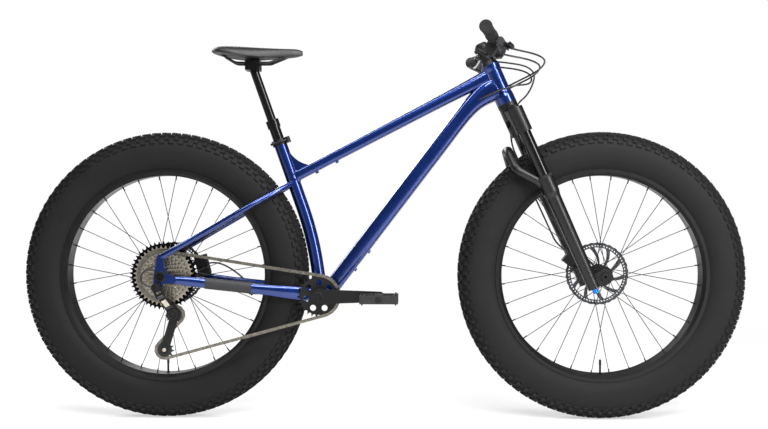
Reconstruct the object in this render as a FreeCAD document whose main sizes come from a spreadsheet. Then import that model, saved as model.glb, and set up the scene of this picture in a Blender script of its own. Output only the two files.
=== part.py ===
import FreeCAD, Part
import math
import os
import Sketcher
from FreeCAD import Placement, Rotation, Vector

# A hardtail fat tyre bicycle. X is forward, Y is to the rider's left, Z is up.
# The origin is on the ground, midway between the axles. Lengths are in millimetres.

SIZES = {
    # whole bicycle
    "wheel_base": 1226.0,
    "chainstay_gap": 37.0,
    "bottom_bracket_drop": 55.0,
    "head_angle": 66.0,
    "fork_offset": 44.0,
    "crown_gap": 135.0,
    "running_gap": 0.3,
    "seat_gap": 0.05,
    # tyre and rim
    "bead_seat_radius": 292.0,
    "tyre_height": 111.0,
    "casing_half_width": 52.0,
    "casing_wall": 3.0,
    "crown_sag": 33.0,
    "crown_half_width": 47.0,
    "knob_height": 6.0,
    "knob_root": 1.0,
    "bead_half_width": 36.0,
    "bead_rise": 7.0,
    "tread_sectors": 40,
    "rim_half_width": 40.0,
    "rim_flange_height": 6.0,
    "rim_flange_wall": 3.5,
    "rim_bed_depth": 12.0,
    "rim_bed_half_width": 29.0,
    "rim_bed_wall": 3.5,
    # spokes and hubs
    "spoke_radius": 1.0,
    "spoke_count": 32,
    "spoke_rim_spread": 14.0,
    "spoke_end_depth": 1.5,
    "flange_radius": 29.0,
    "flange_thickness": 4.0,
    "spoke_circle_inset": 3.0,
    "hub_barrel_radius": 17.0,
    "hub_end_radius": 11.0,
    "front_hub_half_width": 75.0,
    "front_flange_offset": 38.0,
    "rear_hub_half_width": 98.5,
    "rear_flange_left": 56.0,
    "rear_flange_right": 46.0,
    "rotor_from_hub_end": 16.0,
    "rotor_radius": 90.0,
    "rotor_track": 15.0,
    "rotor_hub_radius": 24.0,
    "rotor_thickness": 2.0,
    "rotor_arms": 6,
    "rotor_arm_width": 9.0,
    "front_axle_radius": 7.5,
    "rear_axle_radius": 6.0,
    "axle_bore_radius": 3.5,
    "axle_head_radius": 12.0,
    "axle_head_length": 5.0,
    # drivetrain
    "chain_pitch": 12.7,
    "ring_teeth": 28,
    "engaged_teeth": 34,
    "pulley_teeth": 12,
    "roller_radius": 3.85,
    "roller_gap": 0.3,
    "tooth_height": 3.2,
    "tooth_thickness": 1.3,
    "ring_offset": 72.0,
    "big_cog_offset": 58.0,
    "cog_pitch": 3.74,
    "freehub_radius": 17.0,
    "cog_hub_wall": 3.0,
    "roller_width": 2.0,
    "plate_thickness": 0.75,
    "plate_height": 8.4,
    "plate_gap": 0.05,
    "pin_stub": 0.1,
    "pin_radius": 1.8,
    "crank_length": 170.0,
    "crank_arm_inner": 92.0,
    "crank_arm_thickness": 15.0,
    "crank_boss_radius": 20.0,
    "crank_end_radius": 14.0,
    "spindle_radius": 12.0,
    "ring_hub_radius": 22.0,
    "ring_window_inner": 28.0,
    "ring_window_outer": 46.0,
    "pedal_axle_radius": 5.0,
    "pedal_axle_length": 100.0,
    "pedal_length": 103.0,
    "pedal_width": 98.0,
    "pedal_height": 22.0,
    "pedal_rail": 14.0,
    "pedal_core_radius": 12.0,
    "pedal_gap": 3.0,
    # derailleur
    "guide_ahead": 33.0,
    "guide_below": 109.0,
    "cage_length": 102.0,
    "cage_plate_thickness": 2.0,
    "cage_plate_offset": 6.0,
    "cage_end_radius": 11.0,
    "cage_bolt_radius": 3.0,
    "moving_knuckle_radius": 14.0,
    "moving_knuckle_length": 15.0,
    "hanger_behind": 8.0,
    "hanger_below": 30.0,
    "hanger_thickness": 7.0,
    "hanger_radius": 10.0,
    "fixed_knuckle_radius": 13.0,
    "fixed_knuckle_length": 17.0,
    "link_thickness": 8.0,
    "pivot_reach": 24.0,
    "pivot_radius": 6.0,
    "lug_thickness": 4.0,
    "lug_width": 14.0,
    "link_half_width": 8.0,
    # frame tubes
    "head_tube_length": 118.0,
    "head_tube_radius": 25.0,
    "head_tube_flare": 3.0,
    "head_tube_bore": 20.0,
    "lower_cup_height": 12.0,
    "upper_cup_height": 10.0,
    "cup_wall": 4.0,
    "post_slack": 0.1,
    "seat_tube_wall": 2.6,
    "seat_tube_bore_depth": 230.0,
    "seat_tube_bend_radius": 900.0,
    "seat_tube_bend_angle": 11.0,
    "seat_tube_angle": 70.5,
    "seat_top_behind": 118.5,
    "seat_top_rise": 434.0,
    "shell_half_width": 50.0,
    "shell_radius": 23.0,
    "shell_bore": 17.0,
    "shell_cup_radius": 22.0,
    "shell_cup_length": 9.0,
    "top_tube_height": 31.0,
    "top_tube_width": 36.0,
    "top_tube_drop": 27.0,
    "top_tube_head_height": 44.0,
    "top_tube_seat_drop": 113.0,
    "down_tube_height": 45.0,
    "down_tube_width": 48.0,
    "down_tube_foot_ahead": 26.0,
    "down_tube_foot_rise": 12.0,
    "down_tube_bend_behind": 68.0,
    "down_tube_bend_below": 38.0,
    "down_tube_head_height": 64.0,
    "down_tube_head_rise": 48.0,
    "gusset_reach": 66.0,
    "gusset_below_top": 14.0,
    "gusset_depth": 34.0,
    "gusset_thickness": 16.0,
    "down_tube_knee_behind": 45.0,
    "down_tube_knee_below": 51.0,
    "shell_sink": 8.0,
    "chainstay_height": 28.0,
    "chainstay_width": 15.0,
    "chainstay_foot_height": 36.0,
    "chainstay_end_height": 18.0,
    "chainstay_root_spread": 38.0,
    "chainstay_yoke_spread": 65.0,
    "chainstay_mid_spread": 76.0,
    "chainstay_end_inset": 4.5,
    "stay_rotor_room": 3.65,
    "seatstay_height": 16.0,
    "seatstay_width": 15.0,
    "seatstay_drop": 125.0,
    "seatstay_root_spread": 10.0,
    "seatstay_tyre_spread": 75.0,
    "seatstay_end_inset": 4.5,
    "dropout_arm_radius": 9.0,
    "dropout_fore": 34.0,
    "dropout_fore_radius": 11.0,
    "chainstay_end_drop": 9.0,
    "chainstay_yoke_reach": 70.0,
    "chainstay_root_reach": 12.0,
    "axle_overhang": 4.0,
    "dropout_thickness": 9.5,
    "dropout_radius": 17.0,
    "dropout_arm": 52.0,
    "boss_radius": 5.0,
    "boss_height": 4.0,
    "boss_bore": 2.5,
    "boss_depth": 12.0,
    "boss_spacing": 64.0,
    # seat
    "collar_wall": 3.5,
    "collar_height": 16.0,
    "collar_ear_length": 11.0,
    "collar_ear_width": 18.0,
    "clamp_lever_radius": 3.5,
    "clamp_lever_length": 24.0,
    "post_outer_radius": 15.8,
    "post_outer_exposed": 40.0,
    "post_outer_depth": 220.0,
    "post_floor": 10.0,
    "post_collar_radius": 18.5,
    "post_collar_height": 22.0,
    "post_inner_radius": 12.5,
    "post_inner_exposed": 158.0,
    "post_inner_held": 60.0,
    "cradle_length": 40.0,
    "cradle_width": 58.0,
    "cradle_below": 8.0,
    "cradle_above": 8.0,
    "rail_rise": 12.0,
    "rail_radius": 3.5,
    "rail_spread": 22.0,
    "rail_straight": 48.0,
    "rail_bend": 30.0,
    "rail_nose_ahead": 112.0,
    "rail_nose_spread": 8.0,
    "rail_nose_rise": 24.0,
    "rail_tail_behind": 84.0,
    "rail_tail_spread": 34.0,
    "rail_tail_rise": 22.0,
    "saddle_length": 254.0,
    "saddle_half_width": 73.0,
    "saddle_height": 50.0,
    "saddle_rise": 60.0,
    "saddle_behind": 114.0,
    # fork
    "leg_spread": 84.0,
    "leg_ahead": 4.0,
    "stanchion_radius": 17.0,
    "stanchion_held": 130.0,
    "stanchion_exposed": 137.0,
    "stanchion_seat": 52.0,
    "crown_sleeve_wall": 6.0,
    "crown_sleeve_height": 72.0,
    "crown_depth": 42.0,
    "crown_bridge": 34.0,
    "crown_shoulder": 12.0,
    "crown_round": 9.0,
    "crown_boss_radius": 27.0,
    "steerer_radius": 14.3,
    "leg_wall": 3.0,
    "leg_top_wall": 6.0,
    "leg_top_height": 44.0,
    "leg_taper": 14.0,
    "leg_bore_depth": 245.0,
    "leg_foot_below": 17.5,
    "leg_drop_thickness": 16.0,
    "leg_drop_radius": 15.0,
    "leg_eye_radius": 21.0,
    "arch_foot_below": 30.0,
    "arch_back": 54.0,
    "arch_knee_back": 58.0,
    "arch_knee_above": 50.0,
    "arch_peak_gap": 21.0,
    "arch_half_flat": 40.0,
    "arch_radius": 12.5,
    "arch_bend": 28.0,
    "dial_radius": 8.0,
    "dial_height": 13.0,
    # brakes
    "caliper_length": 58.0,
    "caliper_width": 34.0,
    "caliper_below": 20.0,
    "caliper_above": 14.0,
    "caliper_slot": 4.6,
    "caliper_edge_gap": 3.5,
    "caliper_mount_radius": 6.0,
    "front_caliper_turn": 144.0,
    "rear_caliper_turn": 15.0,
    # cockpit
    "spacer_stack": 10.0,
    "spacer_radius": 18.0,
    "top_cap_height": 6.0,
    "top_cap_radius": 17.0,
    "stem_length": 40.0,
    "stem_height": 40.0,
    "stem_rise": 3.0,
    "stem_ring_radius": 19.5,
    "stem_clamp_radius": 20.4,
    "stem_clamp_width": 52.0,
    "stem_neck_width": 34.0,
    "stem_neck_height": 22.0,
    "stem_split": 1.0,
    "bar_half_length": 387.0,
    "bar_clamp_radius": 15.9,
    "bar_clamp_half": 30.0,
    "bar_radius": 11.1,
    "bar_straight_half": 60.0,
    "bar_bend": 80.0,
    "bar_rise": 12.0,
    "bar_sweep": 58.0,
    "grip_radius": 15.5,
    "grip_length": 132.0,
    "grip_cap": 3.0,
    "control_tilt": 31.0,
    "brake_clamp_inset": 24.0,
    "brake_clamp_width": 14.0,
    "brake_clamp_radius": 16.0,
    "cylinder_ahead": 26.0,
    "cylinder_radius": 10.5,
    "cylinder_inner": 44.0,
    "cylinder_outer": 26.0,
    "lever_pivot_inner": 20.0,
    "lever_pivot_ahead": 43.5,
    "lever_lug_width": 14.0,
    "lever_lug_reach": 7.0,
    "lever_lug_wall": 3.0,
    "lever_root_radius": 6.0,
    "lever_root_height": 10.0,
    "lever_radius": 4.5,
    "lever_knee_out": 12.0,
    "lever_knee_ahead": 63.0,
    "lever_reach": 62.0,
    "lever_reach_ahead": 67.0,
    "lever_tip": 84.0,
    "lever_tip_ahead": 61.0,
    "lever_bend": 18.0,
    "pod_ring_inset": 26.0,
    "pod_ring_width": 10.0,
    "pod_ring_radius": 15.0,
    "pod_length": 32.0,
    "pod_depth": 30.0,
    "pod_back": 8.0,
    "pod_top": 13.0,
    "pod_height": 29.0,
    "paddle_radius": 11.0,
    "paddle_thickness": 4.0,
    "paddle_length": 36.0,
    "paddle_width": 12.0,
    # hoses
    "hose_radius": 2.5,
    "hose_bend": 26.0,
    "hose_span": 100.0,
    "hose_lead": 40.0,
    "port_inside": 16.0,
    "guard_thickness": 1.6,
}

os.makedirs("parts", exist_ok=True)
doc = FreeCAD.newDocument("fat_tire_bike")
sheet = doc.addObject("Spreadsheet::Sheet", "Sizes")
for row, (alias, amount) in enumerate(SIZES.items(), start=1):
    sheet.set(f"A{row}", alias)
    sheet.set(f"B{row}", str(amount))
    sheet.setAlias(f"B{row}", alias)
doc.recompute()


# A size keeps its value with the expression that gives it, so an object can be bound to it.
class Size:
    def __init__(self, value, text):
        self.value = float(value)
        self.text = text

    def __float__(self):
        return self.value

    def __neg__(self):
        return Size(-self.value, f"(-1 * {self.text})")

    def __add__(self, other):
        return Size(self.value + float(other), f"({self.text} + {words(other)})")

    def __radd__(self, other):
        return Size(float(other) + self.value, f"({words(other)} + {self.text})")

    def __sub__(self, other):
        return Size(self.value - float(other), f"({self.text} - {words(other)})")

    def __rsub__(self, other):
        return Size(float(other) - self.value, f"({words(other)} - {self.text})")

    def __mul__(self, other):
        return Size(self.value * float(other), f"({self.text} * {words(other)})")

    def __rmul__(self, other):
        return Size(self.value * float(other), f"({self.text} * {words(other)})")

    def __truediv__(self, other):
        return Size(self.value / float(other), f"({self.text} / {words(other)})")

    def __lt__(self, other):
        return self.value < float(other)


def words(amount):
    return amount.text if isinstance(amount, Size) else repr(float(amount))


class Sizes:
    pass


s = Sizes()
for alias in SIZES:
    setattr(s, alias, Size(sheet.get(alias), f"Sizes.{alias}"))

nodes = []


# Binds a property of an object to a size.
def bind(obj, name, amount):
    obj.setExpression(name, words(amount))


def node(obj, name):
    obj.Label = name
    nodes.append(obj)
    return obj


def feature(name, shape, place=None):
    obj = doc.addObject("Part::Feature", name)
    obj.Shape = shape
    if place is not None:
        obj.Placement = place
    return obj


def cylinder(name, radius, height, place):
    obj = doc.addObject("Part::Cylinder", name)
    bind(obj, "Radius", radius)
    bind(obj, "Height", height)
    obj.Placement = place
    return obj


def box(name, length, width, height, place):
    obj = doc.addObject("Part::Box", name)
    bind(obj, "Length", length)
    bind(obj, "Width", width)
    bind(obj, "Height", height)
    obj.Placement = place
    return obj


def fuse(name, *pieces):
    obj = doc.addObject("Part::MultiFuse", name)
    obj.Shapes = list(pieces)
    return obj


def cut(name, base, tool):
    obj = doc.addObject("Part::Cut", name)
    obj.Base = base
    obj.Tool = tool
    return obj


def group(name, *pieces):
    obj = doc.addObject("Part::Compound", name)
    obj.Links = list(pieces)
    return obj


# The mirror image across the middle plane of the bicycle.
def mirrored(name, source):
    obj = doc.addObject("Part::Mirroring", name)
    obj.Source = source
    obj.Normal = Vector(0, 1, 0)
    obj.Base = Vector(0, 0, 0)
    return obj


# A body with a closed outline sketched on its XZ plane; every corner is bound to its sizes.
def sketched(name, corners):
    body = doc.addObject("PartDesign::Body", name)
    sketch = body.newObject("Sketcher::SketchObject", f"{name}_outline")
    plane = [f for f in body.Origin.OriginFeatures if f.Role == "XZ_Plane"][0]
    sketch.AttachmentSupport = [(plane, "")]
    sketch.MapMode = "FlatFace"
    count = len(corners)
    for at in range(count):
        x, z = corners[at]
        next_x, next_z = corners[(at + 1) % count]
        ends = Vector(x, z, 0), Vector(next_x, next_z, 0)
        sketch.addGeometry(Part.LineSegment(*ends), False)
    for at in range(count):
        sketch.addConstraint(Sketcher.Constraint("Coincident", at, 2, (at + 1) % count, 1))
    for at, (x, z) in enumerate(corners):
        for kind, amount in (("DistanceX", x), ("DistanceY", z)):
            added = sketch.addConstraint(Sketcher.Constraint(kind, -1, 1, at, 1, float(amount)))
            if isinstance(amount, Size):
                bind(sketch, f"Constraints[{added}]", amount)
    return body, sketch


# A body turned from an outline of (radius, height) corners about its own Z axis.
def turned(name, corners, place):
    body, sketch = sketched(name, corners)
    turn = body.newObject("PartDesign::Revolution", f"{name}_turn")
    turn.Profile = sketch
    turn.ReferenceAxis = (sketch, ["V_Axis"])
    turn.Angle = 360
    sketch.Visibility = False
    body.Placement = place
    return body


# An extrusion of a closed wire along a direction, its length bound to a size.
def extruded(name, wire, direction, length, both_ways=True):
    base = feature(f"{name}_outline", wire)
    obj = doc.addObject("Part::Extrusion", name)
    obj.Base = base
    obj.DirMode = "Custom"
    obj.Dir = direction
    bind(obj, "LengthFwd", length)
    obj.Symmetric = both_ways
    obj.Solid = True
    return obj


# Lines with tangent arcs at the inner corners, through points in space.
def route(points, bend, closed=False):
    points = [Vector(p) for p in points]
    count = len(points)
    corners = range(count) if closed else range(1, count - 1)
    entry, leave, arcs = {}, {}, {}
    for at in corners:
        before, here, after = points[at - 1], points[at], points[(at + 1) % count]
        back = (before - here).normalize()
        on = (after - here).normalize()
        half = back.getAngle(on) / 2
        radius = float(bend[at]) if isinstance(bend, (list, tuple)) else float(bend)
        if radius <= 0 or abs(half - math.pi / 2) < 1e-4:
            entry[at] = leave[at] = here
            continue
        reach = radius / math.tan(half)
        entry[at] = here + back * reach
        leave[at] = here + on * reach
        middle = (back + on).normalize()
        arcs[at] = here + middle * (radius / math.sin(half) - radius)
    edges = []
    for at in range(count if closed else count - 1):
        after = (at + 1) % count
        start = leave.get(at, points[at])
        end = entry.get(after, points[after])
        if (end - start).Length > 1e-6:
            edges.append(Part.LineSegment(start, end).toShape())
        if after in arcs:
            edges.append(Part.Arc(entry[after], arcs[after], leave[after]).toShape())
    return Part.Wire(edges)


# A closed outline in the XZ plane at a given Y, with rounded corners.
def outline(points, bend, y=0):
    return route([Vector(x, y, z) for x, z in points], bend, closed=True)


# A round rod along a route.
def rod(points, radius, bend):
    path = route(points, bend)
    start = path.Edges[0]
    first = start.valueAt(start.FirstParameter)
    heading = start.tangentAt(start.FirstParameter)
    ring = Part.Wire(Part.makeCircle(radius, first, heading))
    return path.makePipeShell([ring], True, False)


# A section for a loft: its sizes across Y and across the plane of the bicycle. It is an ellipse,
# or with a share given, an ellipse squared up by that power.
section_points = 24
tube_square_share = 0.66


def section(centre, heading, width, height, square_share=0):
    heading = Vector(heading).normalize()
    across = Vector(0, 1, 0)
    across = (across - heading * across.dot(heading)).normalize()
    rise = heading.cross(across)
    half_width, half_height = float(width) / 2, float(height) / 2
    if square_share:
        points = []
        for at in range(section_points):
            turn = 2 * math.pi * at / section_points
            up = math.copysign(abs(math.cos(turn)) ** square_share, math.cos(turn))
            over = math.copysign(abs(math.sin(turn)) ** square_share, math.sin(turn))
            points.append(centre + rise * (half_height * up) + across * (half_width * over))
        curve = Part.BSplineCurve()
        curve.interpolate(Points=points, PeriodicFlag=True)
        return Part.Wire([curve.toShape()])
    if half_width >= half_height:
        curve = Part.Ellipse(centre + across * half_width, centre + rise * half_height, centre)
    else:
        curve = Part.Ellipse(centre + rise * half_height, centre + across * half_width, centre)
    start = curve.parameter(centre + rise * half_height)
    whole = curve.toShape(start, start + 2 * math.pi)
    return Part.Wire([whole])


def loft(sections):
    return Part.makeLoft(sections, True, False)


# A tube lofted along points; the heading of each section follows its neighbours.
def tube(rows, square_share=0):
    places = [Vector(row[0]) for row in rows]
    wires = []
    for at, (place, width, height) in enumerate(rows):
        before = places[max(at - 1, 0)]
        after = places[min(at + 1, len(places) - 1)]
        wires.append(section(Vector(place), after - before, width, height, square_share))
    return loft(wires)


def between(start, end, share):
    return start + (end - start) * share


# Places that the pieces share.
tyre_radius = s.bead_seat_radius + s.tyre_height
rear_axle = Vector(-s.wheel_base / 2, 0, tyre_radius)
front_axle = Vector(s.wheel_base / 2, 0, tyre_radius)
chainstay_length = tyre_radius + s.chainstay_gap
chainstay_run = math.sqrt(float(chainstay_length) ** 2 - float(s.bottom_bracket_drop) ** 2)
bracket = rear_axle + Vector(chainstay_run, 0, -s.bottom_bracket_drop)
lean = math.radians(float(s.head_angle))
steer_up = Vector(-math.cos(lean), 0, math.sin(lean))
steer_fore = Vector(math.sin(lean), 0, math.cos(lean))
steer_foot = front_axle - steer_fore * s.fork_offset
steer_place = Placement(steer_foot, Rotation(Vector(0, 1, 0), float(s.head_angle) - 90))
crown_seat = tyre_radius + s.crown_gap
to_left = Rotation(Vector(1, 0, 0), -90)
rear_place = Placement(rear_axle, to_left)
front_place = Placement(front_axle, to_left)
bracket_place = Placement(bracket, to_left)


# A place in the fork's frame: ahead of the steering axis, to the left, and up along it.
def on_fork(ahead, left, up):
    return steer_place.multVec(Vector(ahead, left, up))


def fork_place(ahead, left, up):
    return steer_place * Placement(Vector(ahead, left, up), Rotation())


# Tyre: one sector of casing and knobs, turned round and sewn into one solid.
casing_radius = tyre_radius - s.knob_height
crown_arc = (float(s.crown_half_width) ** 2 + float(s.crown_sag) ** 2) / (2 * float(s.crown_sag))
crown_centre = float(casing_radius) - crown_arc
crown_spread = math.atan2(float(s.crown_half_width), crown_arc - float(s.crown_sag))

# Rows of knobs on the left: shares of the crown's spread, of the sector, and of the knob height.
knob_shares = [
    (0.04, 0.24, 0.06, 0.44, 1.0),
    (0.33, 0.55, 0.54, 0.90, 1.0),
    (0.64, 0.96, 0.06, 0.40, 0.9),
    (0.66, 0.93, 0.56, 0.90, 0.8),
]


def crown_point(spread, lift):
    reach = crown_arc + float(lift)
    return Vector(crown_centre + reach * math.cos(spread), 0, reach * math.sin(spread))


def tyre_shape():
    bead, shoulder = s.bead_seat_radius + s.bead_rise, casing_radius - s.crown_sag
    widest = (float(bead) + float(shoulder)) / 2
    inner_half = s.bead_half_width - s.casing_wall
    inner_wide = s.casing_half_width - s.casing_wall
    left = crown_point(crown_spread, 0)
    left_in = crown_point(crown_spread, -s.casing_wall)
    edges = []
    for side, ends in ((1, (left, left_in)), (-1, (left, left_in))):
        out, inside = [Vector(p.x, 0, side * p.z) for p in ends]
        foot = Vector(s.bead_seat_radius, 0, side * s.bead_half_width)
        foot_in = Vector(s.bead_seat_radius, 0, side * inner_half)
        rise = Vector(bead, 0, side * s.bead_half_width)
        rise_in = Vector(bead, 0, side * inner_half)
        wide = Vector(widest, 0, side * s.casing_half_width)
        wide_in = Vector(widest, 0, side * inner_wide)
        edges += [Part.LineSegment(foot_in, foot), Part.LineSegment(foot, rise)]
        edges += [Part.Arc(rise, wide, out), Part.LineSegment(foot_in, rise_in)]
        edges += [Part.Arc(rise_in, wide_in, inside)]
    right = Vector(left.x, 0, -left.z)
    right_in = Vector(left_in.x, 0, -left_in.z)
    edges.append(Part.Arc(left, Vector(casing_radius, 0, 0), right))
    edges.append(Part.Arc(left_in, Vector(casing_radius - s.casing_wall, 0, 0), right_in))
    ring = Part.Wire(Part.__sortEdges__([e.toShape() for e in edges]))
    axis = Vector(0, 0, 1)
    sector = 360 / float(s.tread_sectors)
    casing = Part.Face(ring).revolve(Vector(), axis, sector)
    knobs = []
    for low, high, start, end, lift in knob_shares:
        for side in (1, -1):
            rows = [(low, -s.knob_root), (high, -s.knob_root)]
            rows += [(high, s.knob_height * lift), (low, s.knob_height * lift)]
            corners = [crown_point(side * crown_spread * share, up) for share, up in rows]
            face = Part.Face(Part.makePolygon(corners + corners[:1]))
            begin = start if side > 0 else 1 - end
            face.rotate(Vector(), axis, sector * begin)
            knobs.append(face.revolve(Vector(), axis, sector * (end - start)))
    whole = casing.fuse(knobs)
    ends = (0, math.radians(sector))
    skin = []
    for face in whole.Faces:
        turns = [math.atan2(v.Y, v.X) for v in face.Vertexes]
        if not any(all(abs(t - end) < 1e-5 for t in turns) for end in ends):
            skin.append(face)
    faces = []
    for step in range(int(s.tread_sectors.value)):
        faces += [face.rotated(Vector(), axis, sector * step) for face in skin]
    sewn = Part.makeCompound(faces)
    sewn.sewShape()
    solid = Part.Solid(sewn.Shells[0])
    if solid.Volume < 0:
        solid.reverse()
    return solid


tyre = tyre_shape()
node(feature("front_tyre", tyre, front_place), "front_tyre")
node(feature("rear_tyre", tyre, rear_place), "rear_tyre")

# Rim: a single wall channel with two bead shelves.
rim_inner = s.bead_seat_radius - s.rim_bed_depth
rim_outer = s.bead_seat_radius + s.rim_flange_height
shelf = s.bead_seat_radius - s.seat_gap
shelf_in = s.bead_half_width - s.casing_wall * 2
flange_in = s.rim_half_width - s.rim_flange_wall
rim_left = [
    (rim_inner, s.rim_bed_half_width),
    (s.bead_seat_radius - s.rim_bed_wall, s.rim_half_width),
    (rim_outer, s.rim_half_width),
    (rim_outer, flange_in),
    (shelf, flange_in),
    (shelf, shelf_in),
    (rim_inner + s.rim_bed_wall, s.rim_bed_half_width - s.rim_bed_wall),
]
rim_right = [(radius, -half) for radius, half in reversed(rim_left)]
node(turned("front_rim", rim_left + rim_right, front_place), "front_rim")
node(turned("rear_rim", rim_left + rim_right, rear_place), "rear_rim")


# Spokes: crossed pairs from the hub flanges to the rim bed, and the valve at the bottom.
def spokes(name, flange_left, flange_right, place):
    circle = float(s.flange_radius - s.spoke_circle_inset)
    reach = float(rim_inner + s.spoke_end_depth)
    count = int(s.spoke_count.value)
    side_step = float(s.flange_thickness) / 2 + float(s.spoke_radius)
    sweep = 2 * math.pi / count
    spoke_crossing = 5
    rods = []
    for at in range(count):
        side = 1 if at % 2 else -1
        flange = float(flange_left if side > 0 else flange_right)
        cross = 1 if (at // 2) % 2 else -1
        rim_turn = sweep * (at + 0.5)
        hub_turn = rim_turn + cross * sweep * spoke_crossing
        across = side * flange + cross * side_step
        start = Vector(circle * math.cos(hub_turn), circle * math.sin(hub_turn), across)
        spread = side * float(s.spoke_rim_spread)
        end = Vector(reach * math.cos(rim_turn), reach * math.sin(rim_turn), spread)
        rods.append(Part.makeCylinder(s.spoke_radius, (end - start).Length, start, end - start))
    return node(feature(name, Part.makeCompound(rods), place), name)


spokes("front_spokes", s.front_flange_offset, s.front_flange_offset, front_place)
spokes("rear_spokes", s.rear_flange_left, s.rear_flange_right, rear_place)

# Hubs: two flanges on a barrel, bored for the thru axle.
half_flange = s.flange_thickness / 2
front_bore = s.front_axle_radius + s.running_gap
front_out = s.front_flange_offset + half_flange
front_in = s.front_flange_offset - half_flange
front_hub_left = [
    (s.hub_barrel_radius, front_in),
    (s.flange_radius, front_in),
    (s.flange_radius, front_out),
    (s.hub_end_radius, front_out),
    (s.hub_end_radius, s.front_hub_half_width),
    (front_bore, s.front_hub_half_width),
]
front_hub_right = [(radius, -half) for radius, half in reversed(front_hub_left)]
node(turned("front_hub", front_hub_left + front_hub_right, front_place), "front_hub")

rear_bore = s.rear_axle_radius + s.running_gap
right_out = s.rear_flange_right + half_flange
right_in = s.rear_flange_right - half_flange
left_out = s.rear_flange_left + half_flange
left_in = s.rear_flange_left - half_flange
rear_hub_corners = [
    (rear_bore, -right_out),
    (s.flange_radius, -right_out),
    (s.flange_radius, -right_in),
    (s.hub_barrel_radius, -right_in),
    (s.hub_barrel_radius, left_in),
    (s.flange_radius, left_in),
    (s.flange_radius, left_out),
    (s.hub_end_radius, left_out),
    (s.hub_end_radius, s.rear_hub_half_width),
    (rear_bore, s.rear_hub_half_width),
]
node(turned("rear_hub", rear_hub_corners, rear_place), "rear_hub")


# Rotor: a brake track carried by arms on a small centre.
def rotor(name, place, across):
    low = place * Placement(Vector(0, 0, across), Rotation())
    track = cylinder(f"{name}_track", s.rotor_radius, s.rotor_thickness, low)
    hollow = cylinder(f"{name}_hollow", s.rotor_radius - s.rotor_track, s.rotor_thickness, low)
    ring = cut(f"{name}_ring", track, hollow)
    arms = []
    reach = s.rotor_radius - s.rotor_track / 2
    for at in range(int(s.rotor_arms.value)):
        turn = Rotation(Vector(0, 0, 1), 360 * at / s.rotor_arms.value)
        shift = Placement(turn.multVec(Vector(0, -s.rotor_arm_width / 2, 0)), turn)
        size = (reach, s.rotor_arm_width, s.rotor_thickness)
        arms.append(box(f"{name}_arm_{at}", *size, low * shift))
    centre = cylinder(f"{name}_centre", s.rotor_hub_radius, s.rotor_thickness, low)
    whole = fuse(f"{name}_whole", ring, centre, *arms)
    hole = cylinder(f"{name}_hole", s.hub_end_radius + s.seat_gap, s.rotor_thickness, low)
    return node(cut(name, whole, hole), name)


front_rotor_across = s.front_hub_half_width - s.rotor_from_hub_end
rear_rotor_across = s.rear_hub_half_width - s.rotor_from_hub_end
rotor("front_rotor", front_place, front_rotor_across)
rotor("rear_rotor", rear_place, rear_rotor_across)

# Drivetrain: sprockets and the chain that runs over them.
cog_teeth = [46, 40, 34, 29, 25, 22, 19, 17, 15, 13, 11]
ring_teeth = int(s.ring_teeth.value)
engaged_teeth = int(s.engaged_teeth.value)
pulley_teeth = int(s.pulley_teeth.value)
chain_across = s.big_cog_offset + s.cog_pitch * cog_teeth.index(engaged_teeth)


def pitch_radius(teeth):
    return float(s.chain_pitch) / (2 * math.sin(math.pi / teeth))


# Each sprocket on the chain's way: its centre, its teeth, and the way that the chain turns round it.
def sprockets(cage_turn):
    guide = rear_axle + Vector(s.guide_ahead, 0, -s.guide_below)
    heading = Vector(math.cos(cage_turn), 0, math.sin(cage_turn))
    tension = guide + heading * float(s.cage_length)
    stops = [(rear_axle, engaged_teeth, 1), (guide, pulley_teeth, -1)]
    return stops + [(tension, pulley_teeth, 1), (bracket, ring_teeth, 1)]


# The straight run that leaves one sprocket and meets the next.
def straight(first, second):
    (start, teeth, turn), (end, next_teeth, next_turn) = first, second
    step = end - start
    bearing = math.atan2(step.z, step.x)
    lift = next_turn * pitch_radius(next_teeth) - turn * pitch_radius(teeth)
    bearing -= math.asin(lift / step.Length)
    side = Vector(-math.sin(bearing), 0, math.cos(bearing))
    leave = start - side * (turn * pitch_radius(teeth))
    meet = end - side * (next_turn * pitch_radius(next_teeth))
    return leave, meet


# The chain's way as stretches, each with its length counted in links.
def chain_way(cage_turn):
    stops = sprockets(cage_turn)
    across = [float(chain_across)] * 3 + [float(s.ring_offset)]
    runs = [straight(stops[at], stops[(at + 1) % 4]) for at in range(4)]
    way = []
    for at, (centre, teeth, turn) in enumerate(stops):
        meet, leave = runs[at - 1][1], runs[at][0]
        begin = math.atan2(meet.z - centre.z, meet.x - centre.x)
        end = math.atan2(leave.z - centre.z, leave.x - centre.x)
        sweep = (turn * (end - begin)) % (2 * math.pi)
        way.append(("arc", sweep * teeth / (2 * math.pi), centre, teeth, turn, begin, across[at]))
        start, stop = runs[at]
        ends = across[at], across[(at + 1) % 4]
        way.append(("run", (stop - start).Length / float(s.chain_pitch), start, stop, ends))
    return way


def link_count(cage_turn):
    return sum(stretch[1] for stretch in chain_way(cage_turn))


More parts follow.
